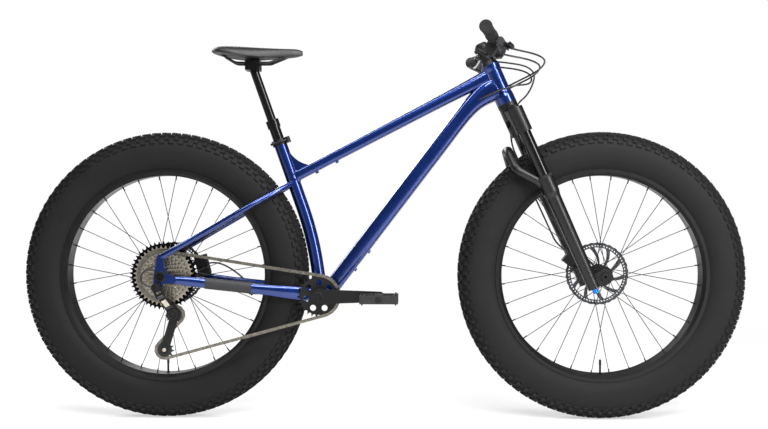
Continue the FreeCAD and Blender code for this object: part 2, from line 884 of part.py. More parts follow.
# The cage turns until an even number of links closes the loop.
cage_hang_angle, cage_search_angle = 258, 25
cage_hang, cage_search = math.radians(cage_hang_angle), math.radians(cage_search_angle)
links = 2 * round(link_count(cage_hang) / 2)
low_turn, high_turn = cage_hang - cage_search, cage_hang + cage_search
for halving in range(60):
    cage_turn = (low_turn + high_turn) / 2
    if link_count(cage_turn) > links:
        low_turn = cage_turn
    else:
        high_turn = cage_turn
rollers = []
phases = {}
count = 0.0
for stretch in chain_way(cage_turn):
    kind, length = stretch[0], stretch[1]
    first = math.ceil(count - 1e-9)
    for at in range(first, math.ceil(count + length - 1e-9)):
        gone = at - count
        if kind == "arc":
            centre, teeth, turn, begin, across = stretch[2:]
            angle = begin + turn * gone * 2 * math.pi / teeth
            reach = pitch_radius(teeth)
            spot = centre + Vector(reach * math.cos(angle), 0, reach * math.sin(angle))
            phases.setdefault((round(centre.x), round(centre.z)), angle)
        else:
            start, stop, ends = stretch[2:]
            share = gone / length
            spot = between(start, stop, share)
            across = between(ends[0], ends[1], share)
        rollers.append(Vector(spot.x, -across, spot.z))
    count += length
rollers = rollers[:links]


def phase_at(centre):
    return phases[(round(centre.x), round(centre.z))]


# A plate with round ends over one pitch, lying in the XZ plane.
def link_plate(low, high):
    reach, half = float(s.chain_pitch), float(s.plate_height) / 2
    ends = [Vector(x, low, z) for x, z in ((0, half), (reach, half), (reach, -half), (0, -half))]
    edges = [
        Part.LineSegment(ends[0], ends[1]).toShape(),
        Part.Arc(ends[1], Vector(reach + half, low, 0), ends[2]).toShape(),
        Part.LineSegment(ends[2], ends[3]).toShape(),
        Part.Arc(ends[3], Vector(-half, low, 0), ends[0]).toShape(),
    ]
    return Part.Face(Part.Wire(edges)).extrude(Vector(0, high - low, 0))


inner_face = float(s.roller_width) / 2
inner_back = inner_face + float(s.plate_thickness)
outer_face = inner_back + float(s.plate_gap)
outer_back = outer_face + float(s.plate_thickness)
across_y = Vector(0, 1, 0)
pitch_step = Vector(s.chain_pitch, 0, 0)
barrels = []
for spot in (Vector(0, -inner_face, 0), pitch_step - across_y * inner_face):
    barrels.append(Part.makeCylinder(s.roller_radius, s.roller_width, spot, across_y))
inner_plates = [link_plate(inner_face, inner_back), link_plate(-inner_back, -inner_face)]
inner_link = inner_plates[0].fuse(inner_plates[1:] + barrels)
outer_pieces = []
for side in (1, -1):
    plate = link_plate(min(side * outer_face, side * outer_back), max(side * outer_face, side * outer_back))
    heads = []
    for spot in (Vector(0, side * outer_back, 0), pitch_step + across_y * (side * outer_back)):
        heads.append(Part.makeCylinder(s.pin_radius, s.pin_stub, spot, across_y * side))
    outer_pieces.append(plate.fuse(heads))
outer_link = Part.makeCompound(outer_pieces)
chain_links = []
for at, spot in enumerate(rollers):
    after = rollers[(at + 1) % links]
    heading = (after - spot).normalize()
    link = (outer_link if at % 2 else inner_link).copy()
    up = heading.cross(across_y).normalize() * -1
    frame = FreeCAD.Matrix()
    side = up.cross(heading)
    frame.A11, frame.A21, frame.A31 = heading.x, heading.y, heading.z
    frame.A12, frame.A22, frame.A32 = side.x, side.y, side.z
    frame.A13, frame.A23, frame.A33 = up.x, up.y, up.z
    link.Placement = Placement(spot, Placement(frame).Rotation)
    chain_links.append(link)
node(feature("chain", Part.makeCompound(chain_links)), "chain")


# The outline of a sprocket in the XZ plane, its first gap at the given turn.
def tooth_wire(centre, teeth, turn, y):
    reach, step = pitch_radius(teeth), 2 * math.pi / teeth
    gap = float(s.roller_radius + s.roller_gap)
    tip = reach + float(s.tooth_height)
    flank_angle, tip_share = math.radians(60), 0.45
    ends, edges = [], []
    for at in range(teeth):
        angle = turn + at * step
        inward = angle + math.pi
        seat = centre + Vector(reach * math.cos(angle), 0, reach * math.sin(angle))
        trio = []
        for swing in (flank_angle, 0, -flank_angle):
            trio.append(seat + Vector(gap * math.cos(inward + swing), 0, gap * math.sin(inward + swing)))
        trio.sort(key=lambda p: math.sin(math.atan2(p.z - centre.z, p.x - centre.x) - angle))
        corners = []
        for share in (tip_share, 1 - tip_share):
            tip_turn = angle + share * step
            corners.append(centre + Vector(tip * math.cos(tip_turn), 0, tip * math.sin(tip_turn)))
        ends.append((trio, corners))
    for at, (trio, corners) in enumerate(ends):
        following = ends[(at + 1) % teeth][0][0]
        edges.append(Part.Arc(*trio).toShape())
        edges.append(Part.LineSegment(trio[2], corners[0]).toShape())
        edges.append(Part.LineSegment(corners[0], corners[1]).toShape())
        edges.append(Part.LineSegment(corners[1], following).toShape())
    wire = Part.Wire(edges)
    wire.translate(Vector(0, y, 0))
    return wire


# A toothed plate with a centre hole and a ring of round windows.
def toothed(name, centre, teeth, turn, across, hole, windows=0, window=0, ring=0):
    y = -float(across)
    wires = [tooth_wire(centre, teeth, turn, y)]
    middle = Vector(centre.x, y, centre.z)
    wires.append(Part.Wire(Part.makeCircle(hole, middle, across_y)))
    for at in range(windows):
        angle = turn + 2 * math.pi * at / windows
        spot = middle + Vector(float(ring) * math.cos(angle), 0, float(ring) * math.sin(angle))
        wires.append(Part.Wire(Part.makeCircle(window, spot, across_y)))
    face = Part.Face(wires, "Part::FaceMakerBullseye")
    return extruded(name, face, across_y, s.tooth_thickness)


# Cassette: separate cogs on the freehub body, with spacers between them.
cogs = []
cog_windows = 8
window_ring_share, window_share, window_gap_share = 0.6, 0.36, 0.72
cog_hole = s.freehub_radius + s.seat_gap
for at, teeth in enumerate(cog_teeth):
    across = s.big_cog_offset + s.cog_pitch * at
    turn = phase_at(rear_axle) if teeth == engaged_teeth else 0.0
    inside = float(s.freehub_radius + s.cog_hub_wall)
    room = pitch_radius(teeth) - float(s.plate_height) - inside
    windows = cog_windows if room > inside / 2 else 0
    ring = inside + room * window_ring_share
    window = min(room * window_share, ring * math.sin(math.pi / cog_windows) * window_gap_share)
    cogs.append(toothed(f"cog_{teeth}", rear_axle, teeth, turn, across, cog_hole, windows, window, ring))
half_tooth = s.tooth_thickness / 2
freehub_bore = s.rear_axle_radius + s.running_gap
freehub_start = right_out + s.running_gap
freehub_corners = [(freehub_bore, -freehub_start), (s.freehub_radius, -freehub_start)]
ridge = s.freehub_radius + s.cog_hub_wall
for at in range(len(cog_teeth) - 1):
    across = s.big_cog_offset + s.cog_pitch * at
    near, far = across + half_tooth, across + s.cog_pitch - half_tooth
    freehub_corners += [(s.freehub_radius, -near), (ridge, -near), (ridge, -far), (s.freehub_radius, -far)]
freehub_end = s.rear_hub_half_width - s.running_gap
freehub_corners += [(s.freehub_radius, -freehub_end), (freehub_bore, -freehub_end)]
freehub = turned("freehub_body", freehub_corners, rear_place)
node(group("cassette", freehub, *cogs), "cassette")

# Crankset: the spindle and the ring's carrier belong to the right arm.
arm_outer = s.crank_arm_inner + s.crank_arm_thickness


# Two circles joined by their outer tangents, in the XZ plane.
def round_ended(start, end, radius, end_radius, y):
    step = end - start
    bearing = math.atan2(step.z, step.x)
    spread = math.acos((float(radius) - float(end_radius)) / step.Length)

    def around(centre, reach, angle):
        return Vector(centre.x + reach * math.cos(angle), y, centre.z + reach * math.sin(angle))

    reach, end_reach = float(radius), float(end_radius)
    up, down, back = bearing + spread, bearing - spread, bearing + math.pi
    edges = [
        Part.LineSegment(around(start, reach, up), around(end, end_reach, up)),
        Part.Arc(around(end, end_reach, up), around(end, end_reach, bearing), around(end, end_reach, down)),
        Part.LineSegment(around(end, end_reach, down), around(start, reach, down)),
        Part.Arc(around(start, reach, down), around(start, reach, back), around(start, reach, up)),
    ]
    return Part.Wire([edge.toShape() for edge in edges])


def arm(name, side, heading):
    end = bracket + Vector(heading * s.crank_length, 0, 0)
    y = side * float(s.crank_arm_inner + s.crank_arm_thickness / 2)
    wire = round_ended(bracket, end, s.crank_boss_radius, s.crank_end_radius, y)
    return extruded(name, wire, across_y, s.crank_arm_thickness)


spindle_length = s.crank_arm_inner * 2 + s.crank_arm_thickness
spindle_start = Placement(Vector(bracket.x, -s.crank_arm_inner, bracket.z), to_left)
spindle = cylinder("spindle", s.spindle_radius, spindle_length, spindle_start)
carrier_length = s.crank_arm_inner - s.ring_offset - half_tooth
carrier = cylinder("carrier", s.ring_hub_radius, carrier_length, spindle_start)
right_arm = fuse("right_arm_whole", arm("right_arm_blank", -1, 1), spindle, carrier)
left_hole_place = Placement(Vector(bracket.x, s.crank_arm_inner, bracket.z), to_left)
left_hole = cylinder("left_arm_hole", s.spindle_radius + s.seat_gap, s.crank_arm_thickness, left_hole_place)
left_arm = cut("left_arm_whole", arm("left_arm_blank", 1, -1), left_hole)
axle_spots = {}
for side_name, side, heading in (("right", -1, 1), ("left", 1, -1)):
    start = bracket + Vector(heading * s.crank_length, side * arm_outer, 0)
    turn = Rotation(Vector(1, 0, 0), 90 if side < 0 else -90)
    axle_spots[side_name] = Placement(start, turn)
right_axle = cylinder("right_pedal_axle", s.pedal_axle_radius, s.pedal_axle_length, axle_spots["right"])
left_axle = cylinder("left_pedal_axle", s.pedal_axle_radius, s.pedal_axle_length, axle_spots["left"])
node(group("right_crank_arm", right_arm, right_axle), "right_crank_arm")
node(group("left_crank_arm", left_arm, left_axle), "left_crank_arm")
ring_room = s.ring_window_outer - s.ring_window_inner
ring_middle = (s.ring_window_outer + s.ring_window_inner) / 2
ring_hole = s.spindle_radius + s.seat_gap
ring_turn = phase_at(bracket)
ring_windows, ring_window_share = 7, 0.46
ring_window = ring_room * ring_window_share
ring_cuts = [ring_hole, ring_windows, ring_window, ring_middle]
ring = toothed("chainring", bracket, ring_teeth, ring_turn, s.ring_offset, *ring_cuts)
node(ring, "chainring")


# Pedal: a platform with two windows and a bored core.
def pedal(name, place):
    low = place * Placement(Vector(-s.pedal_length / 2, -s.pedal_height / 2, s.pedal_gap), Rotation())
    block = box(f"{name}_block", s.pedal_length, s.pedal_height, s.pedal_width, low)
    window_length = s.pedal_length / 2 - s.pedal_rail - s.pedal_core_radius
    window_width = s.pedal_width - s.pedal_rail * 2
    tools = []
    for at, start in enumerate((s.pedal_rail, s.pedal_length / 2 + s.pedal_core_radius)):
        spot = low * Placement(Vector(start, 0, s.pedal_rail), Rotation())
        tools.append(box(f"{name}_window_{at}", window_length, s.pedal_height, window_width, spot))
    bore = cylinder(f"{name}_bore", s.pedal_axle_radius + s.running_gap, s.pedal_axle_length * 2, place)
    return node(cut(name, block, fuse(f"{name}_tools", bore, *tools)), name)


pedal("right_pedal", axle_spots["right"])
pedal("left_pedal", axle_spots["left"])

# Rear dropouts: a plate around the axle with one arm up to the seatstay and one forward.
drop_in = s.rear_hub_half_width
drop_middle = float(drop_in + s.dropout_thickness / 2)
drop_out = drop_in + s.dropout_thickness
arm_top = rear_axle + Vector(0, 0, s.dropout_arm)
arm_fore = rear_axle + Vector(s.dropout_fore, 0, -s.chainstay_end_drop)
up_wire = round_ended(rear_axle, arm_top, s.dropout_radius, s.dropout_arm_radius, drop_middle)
fore_wire = round_ended(rear_axle, arm_fore, s.dropout_radius, s.dropout_fore_radius, drop_middle)
up_arm = extruded("dropout_up_arm", up_wire, across_y, s.dropout_thickness)
fore_arm = extruded("dropout_fore_arm", fore_wire, across_y, s.dropout_thickness)
drop_hole_place = Placement(rear_axle + across_y * drop_in, to_left)
drop_hole = cylinder("dropout_hole", s.rear_axle_radius + s.seat_gap, s.dropout_thickness, drop_hole_place)
left_dropout = cut("left_dropout", fuse("dropout_blank", up_arm, fore_arm), drop_hole)
right_dropout = mirrored("right_dropout", left_dropout)
axle_end = drop_out + s.axle_overhang
axle_corners = [
    (s.axle_bore_radius, -axle_end),
    (s.rear_axle_radius, -axle_end),
    (s.rear_axle_radius, drop_out),
    (s.axle_head_radius, drop_out),
    (s.axle_head_radius, drop_out + s.axle_head_length),
    (s.axle_bore_radius, drop_out + s.axle_head_length),
]
node(turned("rear_thru_axle", axle_corners, rear_place), "rear_thru_axle")

# Derailleur: hanger, fixed knuckle, link, moving knuckle, cage and two pulleys.
guide, tension = sprockets(cage_turn)[1][0], sprockets(cage_turn)[2][0]
bolt = rear_axle + Vector(-s.hanger_behind, 0, -s.hanger_below)
hanger_middle = -float(drop_out - s.hanger_thickness / 2)
hanger_wire = round_ended(rear_axle, bolt, s.dropout_radius, s.hanger_radius, hanger_middle)
hanger_blank = extruded("hanger_blank", hanger_wire, across_y, s.hanger_thickness)
disc_place = Placement(rear_axle - across_y * drop_out, to_left)
hanger_cut = cylinder("hanger_cut", s.dropout_radius + s.seat_gap, s.dropout_thickness, disc_place)
hanger_trim = fuse("hanger_trim", hanger_cut, right_dropout)
hanger = cut("derailleur_hanger", hanger_blank, hanger_trim)
node(group("dropouts", left_dropout, right_dropout, hanger), "dropouts")

link_line = (guide - bolt).normalize()
link_axis = link_line.cross(across_y)
fixed_across = drop_out + s.fixed_knuckle_length / 2
cage_face = chain_across + s.cage_plate_offset + s.cage_plate_thickness / 2
moving_start = cage_face + s.running_gap
moving_across = moving_start + s.moving_knuckle_length / 2
fixed_pivot = bolt + link_line * s.pivot_reach - across_y * fixed_across
moving_pivot = guide - link_line * s.pivot_reach - across_y * moving_across


# The turn that stands X, Y and Z along three square directions.
def facing(x_way, y_way, z_way):
    frame = FreeCAD.Matrix()
    frame.A11, frame.A21, frame.A31 = x_way.x, x_way.y, x_way.z
    frame.A12, frame.A22, frame.A32 = y_way.x, y_way.y, y_way.z
    frame.A13, frame.A23, frame.A33 = z_way.x, z_way.y, z_way.z
    return Placement(frame).Rotation


link_turn = facing(link_line, across_y, link_axis)
lug_inner = s.link_half_width + s.running_gap


# A barrel across the bicycle with two lugs that hold the link's end between them.
def knuckle(name, centre, start, length, radius, heading):
    low = Placement(centre - across_y * start, Rotation(Vector(1, 0, 0), 90))
    pieces = [cylinder(f"{name}_barrel", radius, length, low)]
    reach = s.pivot_reach + s.pivot_radius
    middle = centre - across_y * (start + length / 2)
    begin = 0 if heading > 0 else -reach
    for at, height in enumerate((lug_inner, -lug_inner - s.lug_thickness)):
        shift = Vector(begin, -s.lug_width / 2, height)
        spot = Placement(middle, link_turn) * Placement(shift, Rotation())
        pieces.append(box(f"{name}_lug_{at}", reach, s.lug_width, s.lug_thickness, spot))
    return node(fuse(name, *pieces), name)


fixed_size = (s.fixed_knuckle_length, s.fixed_knuckle_radius)
moving_size = (s.moving_knuckle_length, s.moving_knuckle_radius)
knuckle("derailleur_fixed_knuckle", bolt, drop_out, *fixed_size, 1)
knuckle("derailleur_moving_knuckle", guide, moving_start, *moving_size, -1)
link_step = moving_pivot - fixed_pivot
link_way = Vector(link_step).normalize()
link_stand = facing(link_way, link_axis.cross(link_way), link_axis)
bar_shift = Vector(0, -s.link_thickness / 2, -s.link_half_width)
bar_spot = Placement(fixed_pivot, link_stand) * Placement(bar_shift, Rotation())
link_bar = doc.addObject("Part::Box", "link_bar")
link_bar.Length = link_step.Length
bind(link_bar, "Width", s.link_thickness)
bind(link_bar, "Height", s.link_half_width * 2)
link_bar.Placement = bar_spot
link_ends = []
for at, pivot in enumerate((fixed_pivot, moving_pivot)):
    spot = Placement(pivot, link_stand) * Placement(Vector(0, 0, -s.link_half_width), Rotation())
    link_ends.append(cylinder(f"link_end_{at}", s.pivot_radius, s.link_half_width * 2, spot))
node(fuse("derailleur_link", link_bar, *link_ends), "derailleur_link")

cage_pieces = []
for at, side in enumerate((1, -1)):
    y = -float(chain_across) + side * float(s.cage_plate_offset)
    wire = round_ended(guide, tension, s.cage_end_radius, s.cage_end_radius, y)
    cage_pieces.append(extruded(f"cage_plate_{at}", wire, across_y, s.cage_plate_thickness))
for at, centre in enumerate((guide, tension)):
    low = Placement(centre - across_y * (chain_across + s.cage_plate_offset), to_left)
    cage_pieces.append(cylinder(f"cage_bolt_{at}", s.cage_bolt_radius, s.cage_plate_offset * 2, low))
node(fuse("derailleur_cage", *cage_pieces), "derailleur_cage")
pulley_hole = s.cage_bolt_radius + s.running_gap
for name, centre in (("guide_pulley", guide), ("tension_pulley", tension)):
    wheel = toothed(name, centre, pulley_teeth, phase_at(centre), chain_across, pulley_hole)
    node(wheel, name)

# Bottom bracket: the shell welded into the frame and the two cups screwed into it.
shell_corners = [
    (s.shell_bore, -s.shell_half_width),
    (s.shell_radius, -s.shell_half_width),
    (s.shell_radius, s.shell_half_width),
    (s.shell_bore, s.shell_half_width),
]
shell = node(turned("bottom_bracket_shell", shell_corners, bracket_place), "bottom_bracket_shell")
cup_bore = s.spindle_radius + s.running_gap
cup_body = s.shell_bore - s.seat_gap
cup_corners = [
    (cup_bore, s.shell_half_width - s.shell_cup_length * 2),
    (cup_body, s.shell_half_width - s.shell_cup_length * 2),
    (cup_body, s.shell_half_width),
    (s.shell_cup_radius, s.shell_half_width),
    (s.shell_cup_radius, s.shell_half_width + s.shell_cup_length),
    (cup_bore, s.shell_half_width + s.shell_cup_length),
]
left_cup = turned("left_bracket_cup", cup_corners, bracket_place)
right_cup = mirrored("right_bracket_cup", left_cup)

# Head tube and the cups of the headset, on the steering axis.
head_low = crown_seat + s.lower_cup_height
head_high = head_low + s.head_tube_length
head_wide = s.head_tube_radius + s.head_tube_flare
head_band = s.head_tube_length / 6
head_corners = [
    (s.head_tube_bore, head_low),
    (head_wide, head_low),
    (head_wide, head_low + head_band),
    (s.head_tube_radius, head_low + head_band * 2),
    (s.head_tube_radius, head_high - head_band),
    (s.head_tube_radius + s.head_tube_flare / 2, head_high - head_band / 2),
    (s.head_tube_radius + s.head_tube_flare / 2, head_high),
    (s.head_tube_bore, head_high),
]
head_tube = node(turned("head_tube", head_corners, steer_place), "head_tube")
steer_bore = s.steerer_radius + s.running_gap
cup_sink = s.head_tube_bore - s.seat_gap
lower_corners = [
    (steer_bore, crown_seat + s.running_gap),
    (head_wide, crown_seat + s.running_gap),
    (head_wide, head_low),
    (cup_sink, head_low),
    (cup_sink, head_low + s.lower_cup_height),
    (steer_bore, head_low + s.lower_cup_height),
]
upper_corners = [
    (steer_bore, head_high - s.upper_cup_height),
    (cup_sink, head_high - s.upper_cup_height),
    (cup_sink, head_high),
    (s.head_tube_radius, head_high),
    (s.head_tube_radius - s.cup_wall, head_high + s.upper_cup_height),
    (steer_bore, head_high + s.upper_cup_height),
]
lower_cup = turned("lower_headset_cup", lower_corners, steer_place)
upper_cup = turned("upper_headset_cup", upper_corners, steer_place)
node(group("bearing_cups", left_cup, right_cup, lower_cup, upper_cup), "bearing_cups")

# Solid plugs that trim the tubes where they meet the head tube and the shell.
head_plug_place = steer_place * Placement(Vector(0, 0, head_low), Rotation())
head_plug = Part.makeCylinder(s.head_tube_radius, s.head_tube_length)
head_plug.Placement = head_plug_place
shell_place = Placement(bracket - across_y * s.shell_half_width, to_left)
shell_plug = Part.makeCylinder(s.shell_radius, s.shell_half_width * 2)
shell_plug.Placement = shell_place

# Seat tube: straight above, bent forward below to the shell.
seat_lean = math.radians(float(s.seat_tube_angle))
seat_down = Vector(math.cos(seat_lean), 0, -math.sin(seat_lean))
seat_fore = Vector(math.sin(seat_lean), 0, math.cos(seat_lean))
seat_top = bracket + Vector(-s.seat_top_behind, 0, s.seat_top_rise)
foot_lean = seat_lean + math.radians(float(s.seat_tube_bend_angle))
foot_down = Vector(math.cos(foot_lean), 0, -math.sin(foot_lean))
foot = bracket + Vector(0, 0, s.shell_sink)
seat_step = foot - seat_top
cross = seat_down.x * foot_down.z - seat_down.z * foot_down.x
upper_run = (seat_step.x * foot_down.z - seat_step.z * foot_down.x) / cross
seat_bend = seat_top + seat_down * upper_run
seat_tube_bore = s.post_outer_radius + s.post_slack
seat_tube_radius = seat_tube_bore + s.seat_tube_wall
seat_core = rod([seat_top, seat_bend, foot], seat_tube_radius, s.seat_tube_bend_radius)
post_hole = Part.makeCylinder(seat_tube_bore, s.seat_tube_bore_depth, seat_top, seat_down)
doc.recompute()
node(feature("seat_tube", seat_core.cut(Part.makeCompound([post_hole, shell_plug]))), "seat_tube")

# Top tube: an oval tube that grows toward the head tube, with a curved gusset at the seat tube.
top_head = on_fork(0, 0, head_high - s.top_tube_drop)
top_seat = seat_top + seat_down * s.top_tube_seat_drop
top_shares = [(0.0, 1.0, 1.0), (0.10, 0.96, 0.50), (0.25, 0.92, 0.16), (0.6, 0.86, 0.0), (1.0, 0.80, 0.0)]
top_rows = []
for along, wide, flare in top_shares:
    height = between(float(s.top_tube_height), float(s.top_tube_head_height), flare)
    top_rows.append((between(top_head, top_seat, along), s.top_tube_width * wide, height))
top_core = tube(top_rows, tube_square_share)
top_way = (top_head - top_seat).normalize()
gusset_root_share = 0.8
gusset_high = seat_top + seat_down * s.gusset_below_top + seat_fore * (seat_tube_radius * gusset_root_share)
gusset_far = top_seat + top_way * (s.gusset_reach + seat_tube_radius)
gusset_hollow = top_seat + (top_way - seat_down).normalize() * (s.gusset_depth + seat_tube_radius)
gusset_edges = [
    Part.LineSegment(gusset_high, top_seat),
    Part.LineSegment(top_seat, gusset_far),
    Part.Arc(gusset_far, gusset_hollow, gusset_high),
]
gusset_wire = Part.Wire([edge.toShape() for edge in gusset_edges])
gusset = Part.Face(gusset_wire).extrude(across_y * s.gusset_thickness)
gusset.translate(across_y * (-s.gusset_thickness / 2))


# A hollow boss on the underside of a tube; the first shape is added, the second is drilled out.
def boss(place, outward):
    sink = s.boss_depth - s.boss_height
    post = Part.makeCylinder(s.boss_radius, s.boss_depth, place - outward * sink, outward)
    drill = Part.makeCylinder(s.boss_bore, s.boss_depth, place - outward * sink, outward)
    return post, drill


seat_solid = rod([seat_top, seat_bend, foot], seat_tube_radius, s.seat_tube_bend_radius)
top_under = Vector(top_way.z, 0, -top_way.x)
top_bosses = []
top_boss_share = 0.84
top_boss_spots = []
for share in (-0.5, 0.5):
    spot = between(top_head, top_seat, top_boss_share) + top_way * (s.boss_spacing * share)
    spot = spot + top_under * (s.top_tube_height / 2)
    top_boss_spots.append(spot)
    top_bosses.append(boss(spot, top_under))
top_whole = top_core.fuse([gusset] + [post for post, drill in top_bosses])
top_whole = top_whole.cut(Part.makeCompound([drill for post, drill in top_bosses]))
top_whole = top_whole.cut(seat_solid).cut(head_plug).cut(head_tube.Shape)
node(feature("top_tube", max(top_whole.Solids, key=lambda solid: solid.Volume)), "top_tube")

# Down tube: straight from the shell, then curved and deepened into the head tube.
down_head = on_fork(0, 0, head_low + s.down_tube_head_rise)
down_bend = down_head - Vector(s.down_tube_bend_behind, 0, s.down_tube_bend_below)
down_knee = down_bend - Vector(s.down_tube_knee_behind, 0, s.down_tube_knee_below)
down_foot = bracket + Vector(s.down_tube_foot_ahead, 0, s.down_tube_foot_rise)
down_tube_steps = 8
down_rows = []
for step in range(down_tube_steps + 1):
    spot = between(down_foot, down_knee, step / down_tube_steps)
    down_rows.append((spot, s.down_tube_width, s.down_tube_height))
down_bend_share = 0.4
down_rows += [
    (down_bend, s.down_tube_width, between(s.down_tube_height, s.down_tube_head_height, down_bend_share)),
    (down_head, s.down_tube_width, s.down_tube_head_height),
]
down_core = tube(down_rows, tube_square_share)
down_way = (down_knee - down_foot).normalize()
down_under = Vector(down_way.z, 0, -down_way.x)
down_bosses = []
down_boss_share = 0.2
down_boss_spots = []
for share in (-0.5, 0.5):
    spot = between(down_foot, down_knee, down_boss_share) + down_way * (s.boss_spacing * share)
    spot = spot + down_under * (s.down_tube_height / 2)
    down_boss_spots.append(spot)
    down_bosses.append(boss(spot, down_under))
down_whole = down_core.fuse([post for post, drill in down_bosses])
down_whole = down_whole.cut(Part.makeCompound([drill for post, drill in down_bosses]))
down_whole = down_whole.cut(head_plug).cut(head_tube.Shape).cut(shell_plug).cut(seat_solid)
down_whole = max(down_whole.Solids, key=lambda solid: solid.Volume)
down_whole = down_whole.cut(top_whole)
node(feature("down_tube", max(down_whole.Solids, key=lambda solid: solid.Volume)), "down_tube")

# Chainstays: flat tall tubes from the shell, round the tyre, to the dropouts.
stay_start = bracket
stay_end = rear_axle + Vector(s.dropout_fore, 0, -s.chainstay_end_drop)
stay_run = (stay_end - stay_start).Length
yoke_share = float(s.chainstay_yoke_reach) / stay_run
root_share = float(s.chainstay_root_reach) / stay_run
chainstay_end_spread = s.rear_hub_half_width + s.chainstay_end_inset
past_rotor = rear_rotor_across + s.rotor_thickness + s.stay_rotor_room
stay_shares = [
    (root_share, s.chainstay_root_spread, 1.5, s.chainstay_foot_height),
    (yoke_share, s.chainstay_yoke_spread, 0.85, s.chainstay_foot_height),
    (0.45, s.chainstay_mid_spread, 1.0, s.chainstay_height),
    (0.80, past_rotor, 1.0, s.chainstay_height),
    (1.0, chainstay_end_spread, 0.63, s.chainstay_end_height),
]
stay_rows = []
for along, spread, wide, height in stay_shares:
    spot = between(stay_start, stay_end, along) + across_y * spread
    stay_rows.append((spot, s.chainstay_width * wide, height))
stay_core = tube(stay_rows)
cup_end = s.shell_half_width + s.shell_cup_length + s.seat_gap
cup_plug = Part.makeCylinder(s.shell_radius, cup_end * 2)
cup_plug.Placement = Placement(bracket - across_y * cup_end, to_left)
stay_whole = stay_core.cut(cup_plug).cut(left_dropout.Shape)
stay_whole = max(stay_whole.Solids, key=lambda solid: solid.Volume)
left_chainstay = feature("left_chainstay", stay_whole)
right_chainstay = mirrored("right_chainstay", left_chainstay)

# Seatstays: from the seat tube outward past the tyre and down to the dropouts.
upper_start = seat_top + seat_down * s.seatstay_drop
upper_end = arm_top
seatstay_end_spread = s.rear_hub_half_width + s.seatstay_end_inset
upper_shares = [
    (0.0, s.seatstay_root_spread, 1.0),
    (0.10, between(s.seatstay_root_spread, s.seatstay_tyre_spread, 0.52), 1.0),
    (0.25, s.seatstay_tyre_spread, 1.0),
    (0.6, between(s.seatstay_tyre_spread, seatstay_end_spread, 0.42), 1.0),
    (0.84, between(s.seatstay_tyre_spread, seatstay_end_spread, 0.86), 0.9),
    (1.0, seatstay_end_spread, 0.6),
]
upper_rows = []
for along, spread, wide in upper_shares:
    spot = between(upper_start, upper_end, along) + across_y * spread
    upper_rows.append((spot, s.seatstay_width * wide, s.seatstay_height))
upper_core = tube(upper_rows)
upper_whole = upper_core.cut(seat_solid).cut(left_dropout.Shape)
upper_whole = max(upper_whole.Solids, key=lambda solid: solid.Volume)
left_seatstay = feature("left_seatstay", upper_whole)
right_seatstay = mirrored("right_seatstay", left_seatstay)
node(group("rear_stays", left_chainstay, right_chainstay, left_seatstay, right_seatstay), "rear_stays")

# Seat: clamp, dropper post, rails and saddle, on the axis of the seat tube.
seat_up = seat_down * -1
seat_place = Placement(seat_top, Rotation(Vector(0, 1, 0), float(s.seat_tube_angle) - 90))
collar_hole = seat_tube_radius + s.seat_gap
collar_radius = seat_tube_radius + s.collar_wall
collar_lip = s.post_outer_radius + s.seat_gap
collar_below_share = 0.8
collar_low = -s.collar_height * collar_below_share
collar_high = s.collar_height + collar_low
collar_corners = [
    (collar_hole, collar_low),
    (collar_radius, collar_low),
    (collar_radius, collar_high),
    (collar_lip, collar_high),
    (collar_lip, s.seat_gap),
    (collar_hole, s.seat_gap),
]
collar_ring = turned("collar_ring", collar_corners, seat_place)
ear_start = collar_radius - s.cup_wall / 2
ear_spot = seat_place * Placement(Vector(ear_start, -s.collar_ear_width / 2, collar_low), Rotation())
ear = box("collar_ear", s.collar_ear_length, s.collar_ear_width, s.collar_height, ear_spot)
seat_bore_spot = seat_place * Placement(Vector(0, 0, collar_low), Rotation())
ear_bore = cylinder("collar_ear_bore", collar_radius - s.cup_wall / 4, s.collar_height, seat_bore_spot)
node(fuse("seat_collar", collar_ring, cut("collar_ear_trim", ear, ear_bore)), "seat_collar")
lever_x = ear_start + s.collar_ear_length / 2
lever_y = -(s.collar_ear_width / 2 + s.clamp_lever_radius * 2 + s.running_gap)
lever_pivot = seat_place.multVec(Vector(lever_x, lever_y, collar_low + s.collar_height / 2))
lever_side = -(collar_radius + s.clamp_lever_radius + s.running_gap * 4)
lever_middle = collar_low + s.collar_height / 2
lever_points = [
    Vector(lever_x, lever_y, lever_middle),
    Vector(s.clamp_lever_length / 3, lever_side, lever_middle),
    Vector(-s.clamp_lever_length, lever_side, lever_middle),
]
lever_blade = rod(lever_points, s.clamp_lever_radius, s.clamp_lever_radius * 3)
cam = Part.makeCylinder(s.clamp_lever_radius * 2, s.collar_height, Vector(lever_x, lever_y, collar_low))
node(feature("seat_clamp_lever", lever_blade.fuse(cam), seat_place), "seat_clamp_lever")

post_top = s.post_outer_exposed + s.post_collar_height
post_bore = s.post_inner_radius + s.running_gap
post_corners = [
    (0, -s.post_outer_depth),
    (s.post_outer_radius, -s.post_outer_depth),
    (s.post_outer_radius, s.post_outer_exposed),
    (s.post_collar_radius, s.post_outer_exposed),
    (s.post_collar_radius, post_top),
    (post_bore, post_top),
    (post_bore, s.post_floor - s.post_outer_depth),
    (0, s.post_floor - s.post_outer_depth),
]
node(turned("dropper_outer_tube", post_corners, seat_place), "dropper_outer_tube")
head_up = post_top + s.post_inner_exposed
post_head = seat_top + seat_up * head_up
inner_spot = seat_place * Placement(Vector(0, 0, post_top - s.post_inner_held), Rotation())
inner_length = s.post_inner_held + s.post_inner_exposed
inner_tube = cylinder("dropper_inner_core", s.post_inner_radius, inner_length, inner_spot)
cradle_corner = post_head + Vector(-s.cradle_length / 2, -s.cradle_width / 2, -s.cradle_below)
cradle_height = s.cradle_below + s.rail_rise + s.cradle_above
cradle = box("cradle", s.cradle_length, s.cradle_width, cradle_height, Placement(cradle_corner, Rotation()))
rail_hole = s.rail_radius + s.seat_gap
